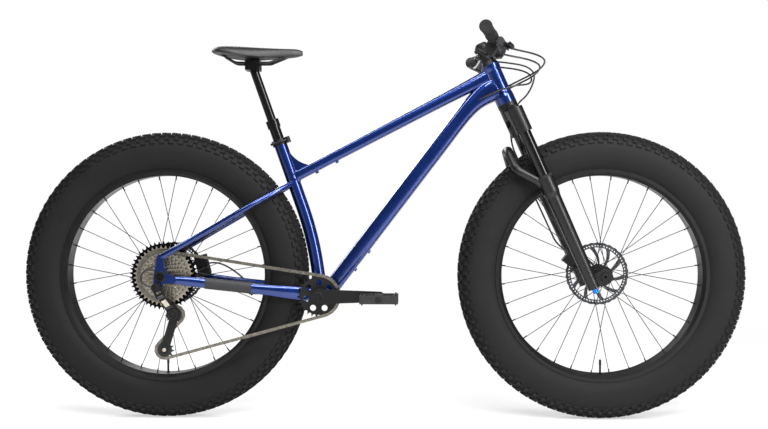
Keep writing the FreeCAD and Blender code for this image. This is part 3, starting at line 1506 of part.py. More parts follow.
rail_tools = []
for at, side in enumerate((1, -1)):
    spot = post_head + Vector(-s.cradle_length, side * s.rail_spread, s.rail_rise)
    turn = Rotation(Vector(0, 1, 0), 90)
    rail_tools.append(cylinder(f"rail_hole_{at}", rail_hole, s.cradle_length * 2, Placement(spot, turn)))
inner_whole = fuse("dropper_inner_whole", inner_tube, cradle)
node(cut("dropper_inner_tube", inner_whole, fuse("rail_holes", *rail_tools)), "dropper_inner_tube")
rails = []
for side in (1, -1):
    stops = [
        (s.rail_nose_ahead, s.rail_nose_spread, s.rail_rise + s.rail_nose_rise),
        (s.rail_straight, s.rail_spread, s.rail_rise),
        (-s.rail_straight, s.rail_spread, s.rail_rise),
        (-s.rail_tail_behind, s.rail_tail_spread, s.rail_rise + s.rail_tail_rise),
    ]
    points = [post_head + Vector(ahead, side * out, up) for ahead, out, up in stops]
    rails.append(rod(points, s.rail_radius, s.rail_bend))
node(feature("saddle_rails", Part.makeCompound(rails)), "saddle_rails")

# Shares along the saddle, of its half width, and of its height down to its edge and its underside.
saddle_shares = [
    (0.00, 0.34, 0.40, 0.62),
    (0.08, 0.74, 0.58, 0.72),
    (0.28, 1.00, 0.94, 0.60),
    (0.50, 0.64, 0.74, 0.58),
    (0.72, 0.36, 0.56, 0.62),
    (0.92, 0.26, 0.44, 0.54),
    (1.00, 0.15, 0.30, 0.42),
]
saddle_tail = post_head + Vector(-s.saddle_behind, 0, s.saddle_rise)
saddle_wires = []
for along, wide, edge, under in saddle_shares:
    middle = saddle_tail + Vector(s.saddle_length * along, 0, 0)
    left = middle + Vector(0, s.saddle_half_width * wide, -s.saddle_height * edge)
    right = middle + Vector(0, -s.saddle_half_width * wide, -s.saddle_height * edge)
    low = middle - Vector(0, 0, s.saddle_height * under)
    arcs = [Part.Arc(left, middle, right).toShape(), Part.Arc(right, low, left).toShape()]
    saddle_wires.append(Part.Wire(arcs))
node(feature("saddle", loft(saddle_wires)), "saddle")

# Fork, upper half: crown, steerer and stanchions, in the frame of the steering axis.
sleeve_low = crown_seat - s.crown_shoulder - s.crown_sleeve_height
leg_top = sleeve_low - s.stanchion_exposed
spacer_low = head_high + s.upper_cup_height + s.running_gap
stem_low = spacer_low + s.spacer_stack
stem_high = stem_low + s.stem_height
crown_sleeve_radius = s.stanchion_radius + s.crown_sleeve_wall
leg_radius = s.stanchion_radius + s.leg_wall
leg_top_radius = s.stanchion_radius + s.leg_top_wall
crown_pieces = []
for at, side in enumerate((1, -1)):
    spot = fork_place(s.leg_ahead, side * s.leg_spread, sleeve_low)
    crown_pieces.append(cylinder(f"crown_sleeve_{at}", crown_sleeve_radius, s.crown_sleeve_height, spot))
bridge_high = crown_seat - s.crown_shoulder / 3
bridge_low = crown_seat - s.crown_bridge
wing = s.leg_spread
bridge_foot_share = 0.62
bridge_points = [
    Vector(0, wing, sleeve_low + s.crown_round * 2),
    Vector(0, wing, crown_seat - s.crown_shoulder - s.crown_round / 2),
    Vector(0, s.crown_boss_radius, bridge_high),
    Vector(0, -s.crown_boss_radius, bridge_high),
    Vector(0, -wing, crown_seat - s.crown_shoulder - s.crown_round / 2),
    Vector(0, -wing, sleeve_low + s.crown_round * 2),
    Vector(0, -wing * bridge_foot_share, bridge_low),
    Vector(0, wing * bridge_foot_share, bridge_low),
]
bridge_wire = route(bridge_points, s.crown_round, closed=True)
bridge_wire.Placement = fork_place(s.leg_ahead / 2, 0, 0)
crown_pieces.append(extruded("crown_bridge", bridge_wire, steer_fore, s.crown_depth))
boss_spot = fork_place(0, 0, crown_seat - s.crown_bridge)
crown_pieces.append(cylinder("crown_boss", s.crown_boss_radius, s.crown_bridge, boss_spot))
steerer_length = stem_high - crown_seat + s.crown_bridge
crown_pieces.append(cylinder("steerer", s.steerer_radius, steerer_length, boss_spot))
stanchion_hole = s.stanchion_radius + s.seat_gap
stanchions = []
crown_holes = []
for at, side in enumerate((1, -1)):
    spot = fork_place(s.leg_ahead, side * s.leg_spread, sleeve_low)
    crown_holes.append(cylinder(f"stanchion_hole_{at}", stanchion_hole, s.stanchion_seat, spot))
    low = fork_place(s.leg_ahead, side * s.leg_spread, leg_top - s.stanchion_held)
    length = s.stanchion_held + s.stanchion_exposed + s.stanchion_seat
    stanchions.append(cylinder(f"stanchion_{at}", s.stanchion_radius, length, low))
crown_whole = fuse("crown_whole", *crown_pieces)
node(cut("fork_crown", crown_whole, fuse("stanchion_holes", *crown_holes)), "fork_crown")
node(group("stanchions", *stanchions), "stanchions")

# Fork, lower half: two legs, their axle eyes and the arch behind the tyre.
leg_corners = [
    (0, -s.leg_foot_below),
    (s.stanchion_radius, -s.leg_foot_below),
    (leg_radius, leg_top - s.leg_top_height - s.leg_taper),
    (leg_top_radius, leg_top - s.leg_top_height),
    (leg_top_radius, leg_top),
    (0, leg_top),
]
lower_pieces = []
lower_holes = []
leg_bore = s.stanchion_radius + s.running_gap
eye_hole = s.front_axle_radius + s.seat_gap
eye_in = s.front_hub_half_width
for at, side in enumerate((1, -1)):
    lower_pieces.append(turned(f"leg_{at}", leg_corners, fork_place(s.leg_ahead, side * s.leg_spread, 0)))
    y = side * float(eye_in + s.leg_drop_thickness / 2)
    start, end = Vector(s.leg_ahead, 0, 0), Vector(s.fork_offset, 0, 0)
    eye_wire = round_ended(start, end, s.leg_drop_radius, s.leg_eye_radius, y)
    eye_wire.Placement = steer_place
    lower_pieces.append(extruded(f"leg_eye_{at}", eye_wire, across_y, s.leg_drop_thickness))
    spot = fork_place(s.leg_ahead, side * s.leg_spread, leg_top - s.leg_bore_depth)
    bore_length = s.leg_bore_depth + s.arch_knee_above
    lower_holes.append(cylinder(f"leg_bore_{at}", leg_bore, bore_length, spot))
eye_spot = Placement(front_axle - across_y * (eye_in + s.leg_drop_thickness), to_left)
eye_length = (eye_in + s.leg_drop_thickness) * 2
lower_holes.append(cylinder("eye_bore", eye_hole, eye_length, eye_spot))
arch_peak = tyre_radius + s.arch_peak_gap + s.arch_radius
peak_back = s.arch_back + s.fork_offset
peak_up = math.sqrt(float(arch_peak) ** 2 - float(peak_back) ** 2)
arch_points = []
for side in (1, -1):
    half = [
        Vector(s.leg_ahead, side * s.leg_spread, leg_top - s.arch_foot_below),
        Vector(-s.arch_knee_back, side * s.leg_spread, leg_top + s.arch_knee_above),
        Vector(-s.arch_back, side * s.arch_half_flat, peak_up),
    ]
    arch_points += half if side > 0 else half[::-1]
arch = feature("arch", rod(arch_points, s.arch_radius, s.arch_bend), steer_place)
lower_whole = fuse("lowers_whole", arch, *lower_pieces)
lowers = node(cut("fork_lowers", lower_whole, fuse("lower_holes", *lower_holes)), "fork_lowers")
eye_out = eye_in + s.leg_drop_thickness
front_axle_corners = [
    (s.axle_bore_radius, -eye_out - s.axle_head_length),
    (s.axle_head_radius, -eye_out - s.axle_head_length),
    (s.axle_head_radius, -eye_out),
    (s.front_axle_radius, -eye_out),
    (s.front_axle_radius, eye_out),
    (s.axle_bore_radius, eye_out),
]
node(turned("front_thru_axle", front_axle_corners, front_place), "front_thru_axle")
dial_spot = fork_place(s.leg_ahead, -s.leg_spread, -s.leg_foot_below - s.running_gap - s.dial_height)
node(cylinder("rebound_knob", s.dial_radius, s.dial_height, dial_spot), "rebound_knob")


# Caliper: a block astride the rotor's edge, with an arm to the piece that carries it.
def caliper(name, axle, across, turn, anchor, trims):
    angle = math.radians(float(turn))
    outward = Vector(math.cos(angle), 0, math.sin(angle))
    along = Vector(-math.sin(angle), 0, math.cos(angle))
    stand = facing(outward, across_y, outward.cross(across_y))
    middle = axle + across_y * (across + s.rotor_thickness / 2)
    edge = s.rotor_radius
    low = middle + outward * (edge - s.caliper_below)
    low = low - across_y * (s.caliper_width / 2) - outward.cross(across_y) * (s.caliper_length / 2)
    depth = s.caliper_below + s.caliper_above
    block = box(f"{name}_block", depth, s.caliper_width, s.caliper_length, Placement(low, stand))
    slot_low = middle + outward * (edge - s.caliper_below)
    slot_low = slot_low - across_y * (s.caliper_slot / 2) - outward.cross(across_y) * (s.caliper_length / 2)
    slot_size = (s.caliper_below + s.caliper_edge_gap, s.caliper_slot, s.caliper_length)
    slot = box(f"{name}_slot", *slot_size, Placement(slot_low, stand))
    doc.recompute()
    start = middle + outward * (edge + s.caliper_above / 2)
    shape = block.Shape.fuse(rod([start, anchor], s.caliper_mount_radius, 0))
    shape = shape.cut(slot.Shape)
    for trim in trims:
        shape = shape.cut(trim)
    solid = max(shape.Solids, key=lambda piece: piece.Volume)
    return node(feature(name, solid), name)


leg_anchor_share, stay_anchor_share, anchor_spread_share = 0.75, 0.82, 0.9
leg_anchor = on_fork(s.leg_ahead, s.leg_spread, s.rotor_radius * leg_anchor_share)
doc.recompute()
caliper_trims = [lowers.Shape]
caliper("front_caliper", front_axle, front_rotor_across, s.front_caliper_turn, leg_anchor, caliper_trims)
stay_anchor = between(stay_start, stay_end, stay_anchor_share)
stay_anchor = stay_anchor + across_y * (chainstay_end_spread * anchor_spread_share)
rear_trims = [stay_whole, left_dropout.Shape]
caliper("rear_caliper", rear_axle, rear_rotor_across, s.rear_caliper_turn, stay_anchor, rear_trims)

# Cockpit: spacers, top cap, stem with its faceplate, handlebar and grips.
steer_hole = s.steerer_radius + s.seat_gap
spacer_corners = [
    (steer_hole, spacer_low),
    (s.spacer_radius, spacer_low),
    (s.spacer_radius, stem_low),
    (steer_hole, stem_low),
]
top_cap_share = 0.8
cap_corners = [
    (0, stem_high),
    (s.top_cap_radius, stem_high),
    (s.top_cap_radius * top_cap_share, stem_high + s.top_cap_height),
    (0, stem_high + s.top_cap_height),
]
spacers = turned("spacer_rings", spacer_corners, steer_place)
top_cap = turned("top_cap_disc", cap_corners, steer_place)
node(group("headset_spacers", spacers, top_cap), "headset_spacers")
stem_middle = on_fork(0, 0, stem_low + s.stem_height / 2)
bar_centre = stem_middle + Vector(s.stem_length, 0, s.stem_rise)
stem_ring = cylinder("stem_ring", s.stem_ring_radius, s.stem_height, fork_place(0, 0, stem_low))
clamp_spot = Placement(bar_centre - across_y * (s.stem_clamp_width / 2), to_left)
stem_clamp = cylinder("stem_clamp", s.stem_clamp_radius, s.stem_clamp_width, clamp_spot)
neck_way = (bar_centre - stem_middle).normalize()
neck_stand = facing(neck_way, across_y, neck_way.cross(across_y))
neck_low = Vector(0, -s.stem_neck_width / 2, -s.stem_neck_height / 2)
neck_spot = Placement(stem_middle, neck_stand) * Placement(neck_low, Rotation())
neck = box("stem_neck", s.stem_length, s.stem_neck_width, s.stem_neck_height, neck_spot)
stem_tools = [cylinder("stem_steer_hole", steer_hole, s.stem_height, fork_place(0, 0, stem_low))]
bar_hole = s.bar_clamp_radius + s.seat_gap
stem_tools.append(cylinder("stem_bar_hole", bar_hole, s.stem_clamp_width, clamp_spot))
front_low = Vector(0, -s.stem_clamp_width / 2, -s.stem_clamp_radius)
front_spot = Placement(bar_centre, neck_stand) * Placement(front_low, Rotation())
front_size = (s.stem_clamp_radius, s.stem_clamp_width, s.stem_clamp_radius * 2)
front_half = box("stem_front_half", *front_size, front_spot)
stem_whole = fuse("stem_whole", stem_ring, stem_clamp, neck)
stem_body = cut("stem_body", stem_whole, fuse("stem_tools", front_half, *stem_tools))
face_low = Vector(s.stem_split, -s.stem_clamp_width / 2, -s.stem_clamp_radius)
face_spot = Placement(bar_centre, neck_stand) * Placement(face_low, Rotation())
face_box = box("faceplate_box", *front_size, face_spot)
face_ring = cylinder("faceplate_ring", s.stem_clamp_radius, s.stem_clamp_width, clamp_spot)
face_hole = cylinder("faceplate_hole", bar_hole, s.stem_clamp_width, clamp_spot)
face_shell = cut("faceplate_shell", face_ring, face_hole)
faceplate = doc.addObject("Part::MultiCommon", "stem_faceplate")
faceplate.Shapes = [face_shell, face_box]
node(group("stem", stem_body, faceplate), "stem")

left_knee = bar_centre + across_y * s.bar_straight_half
right_knee = bar_centre - across_y * s.bar_straight_half
left_tip = bar_centre + Vector(-s.bar_sweep, s.bar_half_length, s.bar_rise)
right_tip = bar_centre + Vector(-s.bar_sweep, -s.bar_half_length, s.bar_rise)
bar_rod = rod([left_tip, left_knee, right_knee, right_tip], s.bar_radius, s.bar_bend)
bar_spot = bar_centre - across_y * s.bar_clamp_half
bar_sleeve = Part.makeCylinder(s.bar_clamp_radius, s.bar_clamp_half * 2, bar_spot, across_y)
node(feature("handlebar", bar_rod.fuse(bar_sleeve)), "handlebar")

# The right hand's frame on the handlebar: outward, ahead and down, and upward.
hand_out = (right_tip - right_knee).normalize()
tilt = math.radians(float(s.control_tilt))
hand_fore = Vector(math.cos(tilt), 0, -math.sin(tilt))
hand_fore = (hand_fore - hand_out * hand_fore.dot(hand_out)).normalize()
hand_up = hand_out.cross(hand_fore)
inward = hand_out * -1
grip_stand = facing(hand_fore, inward.cross(hand_fore), inward)
grip_hole = s.bar_radius + s.seat_gap
grip_corners = [
    (0, -s.grip_cap),
    (s.grip_radius, -s.grip_cap),
    (s.grip_radius, s.grip_length),
    (grip_hole, s.grip_length),
    (grip_hole, 0),
    (0, 0),
]
right_grip = turned("right_grip", grip_corners, Placement(right_tip, grip_stand))
left_grip = mirrored("left_grip", right_grip)
node(group("grips", right_grip, left_grip), "grips")
clamp_inset = s.grip_length + s.brake_clamp_inset
brake_home = right_tip + inward * clamp_inset


# A place by the right hand: outward along the bar, ahead of it and above it.
def by_hand(out, ahead, up):
    return brake_home + hand_out * out + hand_fore * ahead + hand_up * up


def hand_box(name, low, size):
    corner = by_hand(*low)
    stand = facing(hand_out, hand_fore, hand_up)
    return box(name, *size, Placement(corner, stand))


def bar_ring(name, out, width, radius):
    stand = facing(hand_fore, hand_up, hand_out)
    return cylinder(name, radius, width, Placement(by_hand(out - width / 2, 0, 0), stand))


# Brake lever body: a clamp, a cylinder ahead of the bar and two lugs for the blade.
half_root = s.lever_root_height / 2 + s.running_gap
lug_length = s.lever_pivot_ahead - s.cylinder_ahead + s.lever_lug_reach
brake_pieces = [bar_ring("brake_clamp", 0, s.brake_clamp_width, s.brake_clamp_radius)]
neck_from = (-s.brake_clamp_width / 2, 0, -s.brake_clamp_width / 2)
neck_size = (s.brake_clamp_width, s.cylinder_ahead, s.brake_clamp_width)
brake_pieces.append(hand_box("brake_neck", neck_from, neck_size))
barrel_stand = facing(hand_fore, hand_up, hand_out)
barrel_spot = Placement(by_hand(-s.cylinder_inner, s.cylinder_ahead, 0), barrel_stand)
barrel_length = s.cylinder_inner + s.cylinder_outer
brake_pieces.append(cylinder("brake_cylinder", s.cylinder_radius, barrel_length, barrel_spot))
lug_out = -s.lever_pivot_inner - s.lever_lug_width / 2
for at, up in enumerate((half_root, -half_root - s.lever_lug_wall)):
    size = (s.lever_lug_width, lug_length, s.lever_lug_wall)
    brake_pieces.append(hand_box(f"brake_lug_{at}", (lug_out, s.cylinder_ahead, up), size))
brake_bore = bar_ring("brake_bore", 0, s.brake_clamp_width * 2, grip_hole)
right_brake = cut("right_brake_body", fuse("brake_whole", *brake_pieces), brake_bore)
left_brake = mirrored("left_brake_body", right_brake)
node(group("brake_lever_bodies", right_brake, left_brake), "brake_lever_bodies")
blade_pivot = by_hand(-s.lever_pivot_inner, s.lever_pivot_ahead, 0)
blade_points = [
    blade_pivot,
    by_hand(s.lever_knee_out, s.lever_knee_ahead, 0),
    by_hand(s.lever_reach, s.lever_reach_ahead, 0),
    by_hand(s.lever_tip, s.lever_tip_ahead, 0),
]
root_spot = by_hand(-s.lever_pivot_inner, s.lever_pivot_ahead, -s.lever_root_height / 2)
root = Part.makeCylinder(s.lever_root_radius, s.lever_root_height, root_spot, hand_up)
blade = rod(blade_points, s.lever_radius, s.lever_bend).fuse(root)
right_blade = node(feature("right_brake_lever", blade), "right_brake_lever")
node(mirrored("left_brake_lever", right_blade), "left_brake_lever")


# A control pod hung under the bar, inboard of the brake lever.
def pod(name):
    ring = bar_ring(f"{name}_ring", -s.pod_ring_inset, s.pod_ring_width, s.pod_ring_radius)
    low = (-s.pod_ring_inset - s.pod_length / 2, -s.pod_back, -s.pod_top - s.pod_height)
    block = hand_box(f"{name}_block", low, (s.pod_length, s.pod_depth, s.pod_height))
    bore = bar_ring(f"{name}_bore", -s.pod_ring_inset, s.pod_length * 2, grip_hole)
    return cut(name, fuse(f"{name}_whole", ring, block), bore)


# A thumb paddle that turns on a pin under its pod.
def paddle(name, below, swing):
    out, ahead = -s.pod_ring_inset, s.pod_depth / 2 - s.pod_back
    up = -s.pod_top - s.pod_height - s.running_gap - below - s.paddle_thickness
    centre = by_hand(out, ahead, up)
    disc = Part.makeCylinder(s.paddle_radius, s.paddle_thickness, centre, hand_up)
    angle = math.radians(swing)
    way = hand_out * math.cos(angle) - hand_fore * math.sin(angle)
    side = hand_up.cross(way)
    corner = centre - side * (s.paddle_width / 2)
    plate = Part.makeBox(s.paddle_length, s.paddle_width, s.paddle_thickness)
    plate.Placement = Placement(corner, facing(way, side, hand_up))
    return feature(name, disc.fuse(plate))


shifter = pod("shifter_body")
remote = mirrored("dropper_remote_body", pod("remote_pod"))
node(group("bar_controls", shifter, remote), "bar_controls")
step = s.paddle_thickness + s.running_gap
# The turn of each paddle from the line of the bar, in degrees.
thumb_turn, release_turn, dropper_turn = 40, 75, 50
node(paddle("shift_thumb_lever", 0, thumb_turn), "shift_thumb_lever")
node(paddle("shift_release_lever", step, release_turn), "shift_release_lever")
node(mirrored("dropper_lever", paddle("remote_paddle", 0, dropper_turn)), "dropper_lever")

# Hoses: shares of a span, ahead, left and up from the top of the head tube.
hose_origin = on_fork(0, 0, head_high)
rear_brake_shares = [(1.50, -0.85, 0.14), (1.50, 0.10, -0.10), (0.70, 0.44, -0.48), (-0.14, 0.42, -0.90)]
shift_shares = [(1.35, -0.95, -0.02), (1.36, 0.0, -0.26), (0.62, 0.50, -0.60), (-0.24, 0.46, -1.05)]
dropper_shares = [(1.20, 0.95, -0.05), (1.22, -0.05, -0.55), (0.58, -0.46, -0.62), (-0.14, -0.42, -0.92)]
front_brake_shares = [(1.42, 0.80, 0.02), (1.24, 0.98, -0.70)]


def spans(shares):
    return [hose_origin + Vector(*(s.hose_span * share for share in row)) for row in shares]


def across_bar(point):
    return Vector(point.x, -point.y, point.z)


def hose(points):
    return rod(points, s.hose_radius, s.hose_bend)


brake_end = by_hand(-s.cylinder_inner, s.cylinder_ahead, 0)
brake_lead = by_hand(-s.cylinder_inner - s.hose_lead, s.cylinder_ahead, 0)
pod_end = by_hand(-s.pod_ring_inset - s.pod_length / 2, s.pod_back, -s.pod_top - s.pod_height / 2)
pod_lead = pod_end - hand_out * s.hose_lead
port_near = down_bend
port_low_share = 0.4
port_low = between(down_bend, down_knee, port_low_share)
rear_stops = [brake_end, brake_lead] + spans(rear_brake_shares)
shift_stops = [pod_end, pod_lead] + spans(shift_shares)
dropper_stops = [across_bar(pod_end), across_bar(pod_lead)] + spans(dropper_shares)
control_runs = [
    hose(rear_stops + [port_near + across_y * s.port_inside]),
    hose(shift_stops + [port_low + across_y * s.port_inside]),
    hose(dropper_stops + [port_near - across_y * s.port_inside]),
]
node(feature("control_hoses", Part.makeCompound(control_runs)), "control_hoses")


# The far end of a caliper, where its hose leaves it.
def caliper_port(axle, across, turn, shift, reach):
    angle = math.radians(float(turn))
    outward = Vector(math.cos(angle), 0, math.sin(angle))
    return axle + across_y * (across + shift) + outward * (s.rotor_radius + s.caliper_above + reach)


port_shift = -s.caliper_width / 4
front_port = [front_axle, front_rotor_across, s.front_caliper_turn, port_shift]
behind_leg = -(leg_top_radius + s.hose_radius)
beside_leg = s.leg_spread + s.arch_radius + s.hose_radius + s.running_gap * 2
beside_crown = s.leg_spread + crown_sleeve_radius + s.hose_radius + s.running_gap * 2
front_stops = [across_bar(brake_end), across_bar(brake_lead)] + spans(front_brake_shares)
front_stops += [
    on_fork(s.leg_ahead + crown_sleeve_radius, beside_crown, crown_seat),
    on_fork(behind_leg, beside_crown, sleeve_low),
    on_fork(behind_leg, beside_leg, leg_top + s.arch_knee_above),
    on_fork(behind_leg, beside_leg, leg_top - s.leg_top_height),
    on_fork(behind_leg, s.leg_spread, leg_top / 2),
    caliper_port(*front_port, s.hose_lead),
    caliper_port(*front_port, s.running_gap),
]
node(feature("front_brake_hose", hose(front_stops)), "front_brake_hose")

# Housing of the rear brake and of the derailleur, where they leave the stays.
rear_port = [rear_axle, rear_rotor_across, s.rear_caliper_turn, port_shift]
stay_exit_share, tail_lead_share = 0.5, 0.7
stay_exit = between(stay_rows[2][0], stay_rows[3][0], stay_exit_share)
stay_rise = Vector(0, 0, s.chainstay_height)
tail_stops = [
    caliper_port(*rear_port, 0),
    caliper_port(*rear_port, s.hose_lead * tail_lead_share),
    stay_exit + stay_rise,
    stay_exit - Vector(-s.chainstay_height, 0, 0),
]
loop_shares = [(0.02, -0.03, 0.38), (-0.22, -0.12, 0.26), (-0.52, -0.16, 0.10)]
loop_shares += [(-0.46, -0.18, -0.26), (-0.08, -0.18, -0.30)]
loop_start = rear_axle - across_y * drop_in
loop_stops = [loop_start + Vector(*(s.hose_span * share for share in row)) for row in loop_shares]
housing_runs = [hose(tail_stops), rod(loop_stops, s.hose_radius, s.hose_bend / 2)]
node(feature("rear_housings", Part.makeCompound(housing_runs)), "rear_housings")

# Chainstay guard: a thin sleeve round the right chainstay, below the chain.
guard_rows = []
guard_shares = (0.05, 0.5, 0.95)
for share in guard_shares:
    spot = between(stay_rows[2][0], stay_rows[3][0], share)
    width = between(stay_rows[2][1], stay_rows[3][1], share) + s.guard_thickness * 2
    height = between(stay_rows[2][2], stay_rows[3][2], share) + s.guard_thickness * 2
    guard_rows.append((spot, width, height))
guard_core = tube(guard_rows).cut(stay_whole)
guard_core = max(guard_core.Solids, key=lambda solid: solid.Volume)
node(mirrored("chainstay_guard", feature("guard_core", guard_core)), "chainstay_guard")

doc.recompute()
faults = []
for obj in doc.Objects:
    if "Invalid" in obj.State or "Error" in obj.State:
        faults.append(f"{obj.Name}: {obj.State}")
for obj in nodes:
    if obj.Shape.isNull() or not obj.Shape.isValid():
        faults.append(f"{obj.Label}: no valid shape")
for fault in faults:
    print(fault)
if faults:
    raise SystemExit("the part has faults")
for obj in nodes:
    obj.Shape.exportStep(f"parts/{obj.Label}.step")
print(len(nodes), "nodes written")
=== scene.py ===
import math
import bpy
import numpy as np
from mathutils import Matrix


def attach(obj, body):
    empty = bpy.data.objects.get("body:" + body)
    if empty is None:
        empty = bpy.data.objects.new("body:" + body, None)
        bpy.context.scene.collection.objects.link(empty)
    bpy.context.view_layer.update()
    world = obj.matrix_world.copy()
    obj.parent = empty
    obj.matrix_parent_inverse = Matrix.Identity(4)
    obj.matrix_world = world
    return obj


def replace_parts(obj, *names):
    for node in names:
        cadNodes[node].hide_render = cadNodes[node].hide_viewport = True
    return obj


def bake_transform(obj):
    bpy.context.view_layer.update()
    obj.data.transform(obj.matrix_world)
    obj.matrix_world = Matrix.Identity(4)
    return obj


# A hardtail fat tire bicycle seen from its drive side. X is forward, Y to the rider's left, Z up.
# Lengths in the pieces' tables are in millimetres, and the meshes are in metres.
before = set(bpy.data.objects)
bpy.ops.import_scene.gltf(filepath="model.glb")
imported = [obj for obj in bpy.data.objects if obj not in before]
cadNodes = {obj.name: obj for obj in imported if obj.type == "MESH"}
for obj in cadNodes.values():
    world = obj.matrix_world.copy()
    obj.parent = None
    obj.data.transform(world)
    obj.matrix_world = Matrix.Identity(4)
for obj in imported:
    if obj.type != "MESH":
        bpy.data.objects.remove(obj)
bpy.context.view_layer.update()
mm, perMetre = 0.001, 1000
axles = {"front": 613.0, "rear": -613.0}
axleHeight = 403.0
print("frame loaded")


def linearColour(hexText):
    srgb = np.array([int(hexText[at:at + 2], 16) for at in (1, 3, 5)]) / 255
    shade = np.where(srgb <= 0.04045, srgb / 12.92, ((srgb + 0.055) / 1.055) ** 2.4)
    return (*shade.tolist(), 1.0)


# Texture scale for a pattern whose feature has this real size in millimetres.
def perSize(sizeMm):
    return perMetre / sizeMm


# One node with its settings and socket values, and links from other nodes' sockets.
def addNode(tree, kind, settings, values, links):
    made = tree.nodes.new(kind)
    for name, value in settings.items():
        setattr(made, name, value)
    for name, value in values.items():
        made.inputs[name].default_value = value
    for name, source in links.items():
        tree.links.new(source, made.inputs[name])
    return made


grainHeightShare, paintedShadePower = 0.3, 2.2


# A surface finish: two shades mixed by a large soft pattern, a fine grain in height, roughness
# that follows the soft pattern, and edges rounded by a small radius in shading. Where the look
# asks for it, what lies inward of a place across the bicycle is black, and nooks get painted shade:
# an ambient occlusion node darkens the base colour in creases and gaps between parts.
def finish(name, look):
    made = bpy.data.materials.new(name)
    made.use_nodes = True
    tree = made.node_tree
    shader = tree.nodes["Principled BSDF"]
    place = addNode(tree, "ShaderNodeTexCoord", {}, {}, {})
    spot = place.outputs["Object"]
    patches = {"Scale": perSize(look["patchMm"]), "Detail": 4.0}
    soft = addNode(tree, "ShaderNodeTexNoise", {}, patches, {"Vector": spot})
    grains = {"Scale": perSize(look["grainMm"]), "Detail": 2.0}
    grain = addNode(tree, "ShaderNodeTexNoise", {}, grains, {"Vector": spot})
    # A mix node has its two colours at inputs 6 and 7 and the mixed colour at output 2.
    shade = addNode(tree, "ShaderNodeMix", {"data_type": "RGBA"}, {}, {"Factor": soft.outputs["Fac"]})
    shade.inputs[6].default_value = linearColour(look["dark"])
    shade.inputs[7].default_value = linearColour(look["light"])
    spread = {"To Min": look["rough"] - look["roughSpread"], "To Max": look["rough"] + look["roughSpread"]}
    rough = addNode(tree, "ShaderNodeMapRange", {}, spread, {"Value": soft.outputs["Fac"]})
    relief = {"Strength": look["grainStrength"], "Distance": look["grainMm"] * grainHeightShare * mm}
    bump = addNode(tree, "ShaderNodeBump", {}, relief, {"Height": grain.outputs["Fac"]})
    if look["edgeMm"]:
        edge = addNode(tree, "ShaderNodeBevel", {"samples": 4}, {"Radius": look["edgeMm"] * mm}, {})
        tree.links.new(edge.outputs["Normal"], bump.inputs["Normal"])
    colour = shade.outputs[2]
    if "blackFrom" in look:
        split = addNode(tree, "ShaderNodeSeparateXYZ", {}, {}, {"Vector": spot})
        limit = {1: look["blackFrom"]}
        above = {"operation": "GREATER_THAN"}
        inner = addNode(tree, "ShaderNodeMath", above, limit, {0: split.outputs["Y"]})
        mixed = {0: inner.outputs["Value"], 6: colour}
        black = addNode(tree, "ShaderNodeMix", {"data_type": "RGBA"}, {}, mixed)
        black.inputs[7].default_value = linearColour(look["black"])
        colour = black.outputs[2]
    # Painted shade: the ambient occlusion factor, raised to a power, is multiplied into the base colour, so
    # creases and gaps between parts are drawn darker.
    if "paintedShadeMm" in look:
        room = {"Distance": look["paintedShadeMm"] * mm}
        paintedShadeNode = addNode(tree, "ShaderNodeAmbientOcclusion", {"samples": 8}, room, {"Color": colour})
        openness = {0: paintedShadeNode.outputs["AO"]}
        deep = addNode(tree, "ShaderNodeMath", {"operation": "POWER"}, {1: paintedShadePower}, openness)
        dimmed = {"data_type": "RGBA", "blend_type": "MULTIPLY"}
        dim = addNode(tree, "ShaderNodeMix", dimmed, {0: 1.0}, {6: colour, 7: deep.outputs["Value"]})
        colour = dim.outputs[2]
    tree.links.new(colour, shader.inputs["Base Color"])
    tree.links.new(rough.outputs["Result"], shader.inputs["Roughness"])
    tree.links.new(bump.outputs["Normal"], shader.inputs["Normal"])
    shader.inputs["Metallic"].default_value = look["metal"]
    shader.inputs["Specular IOR Level"].default_value = look.get("specular", 0.5)
    shader.inputs["Coat Weight"].default_value = look.get("coat", 0.0)
    shader.inputs["Coat Roughness"].default_value = look.get("coatRough", 0.05)
    return made


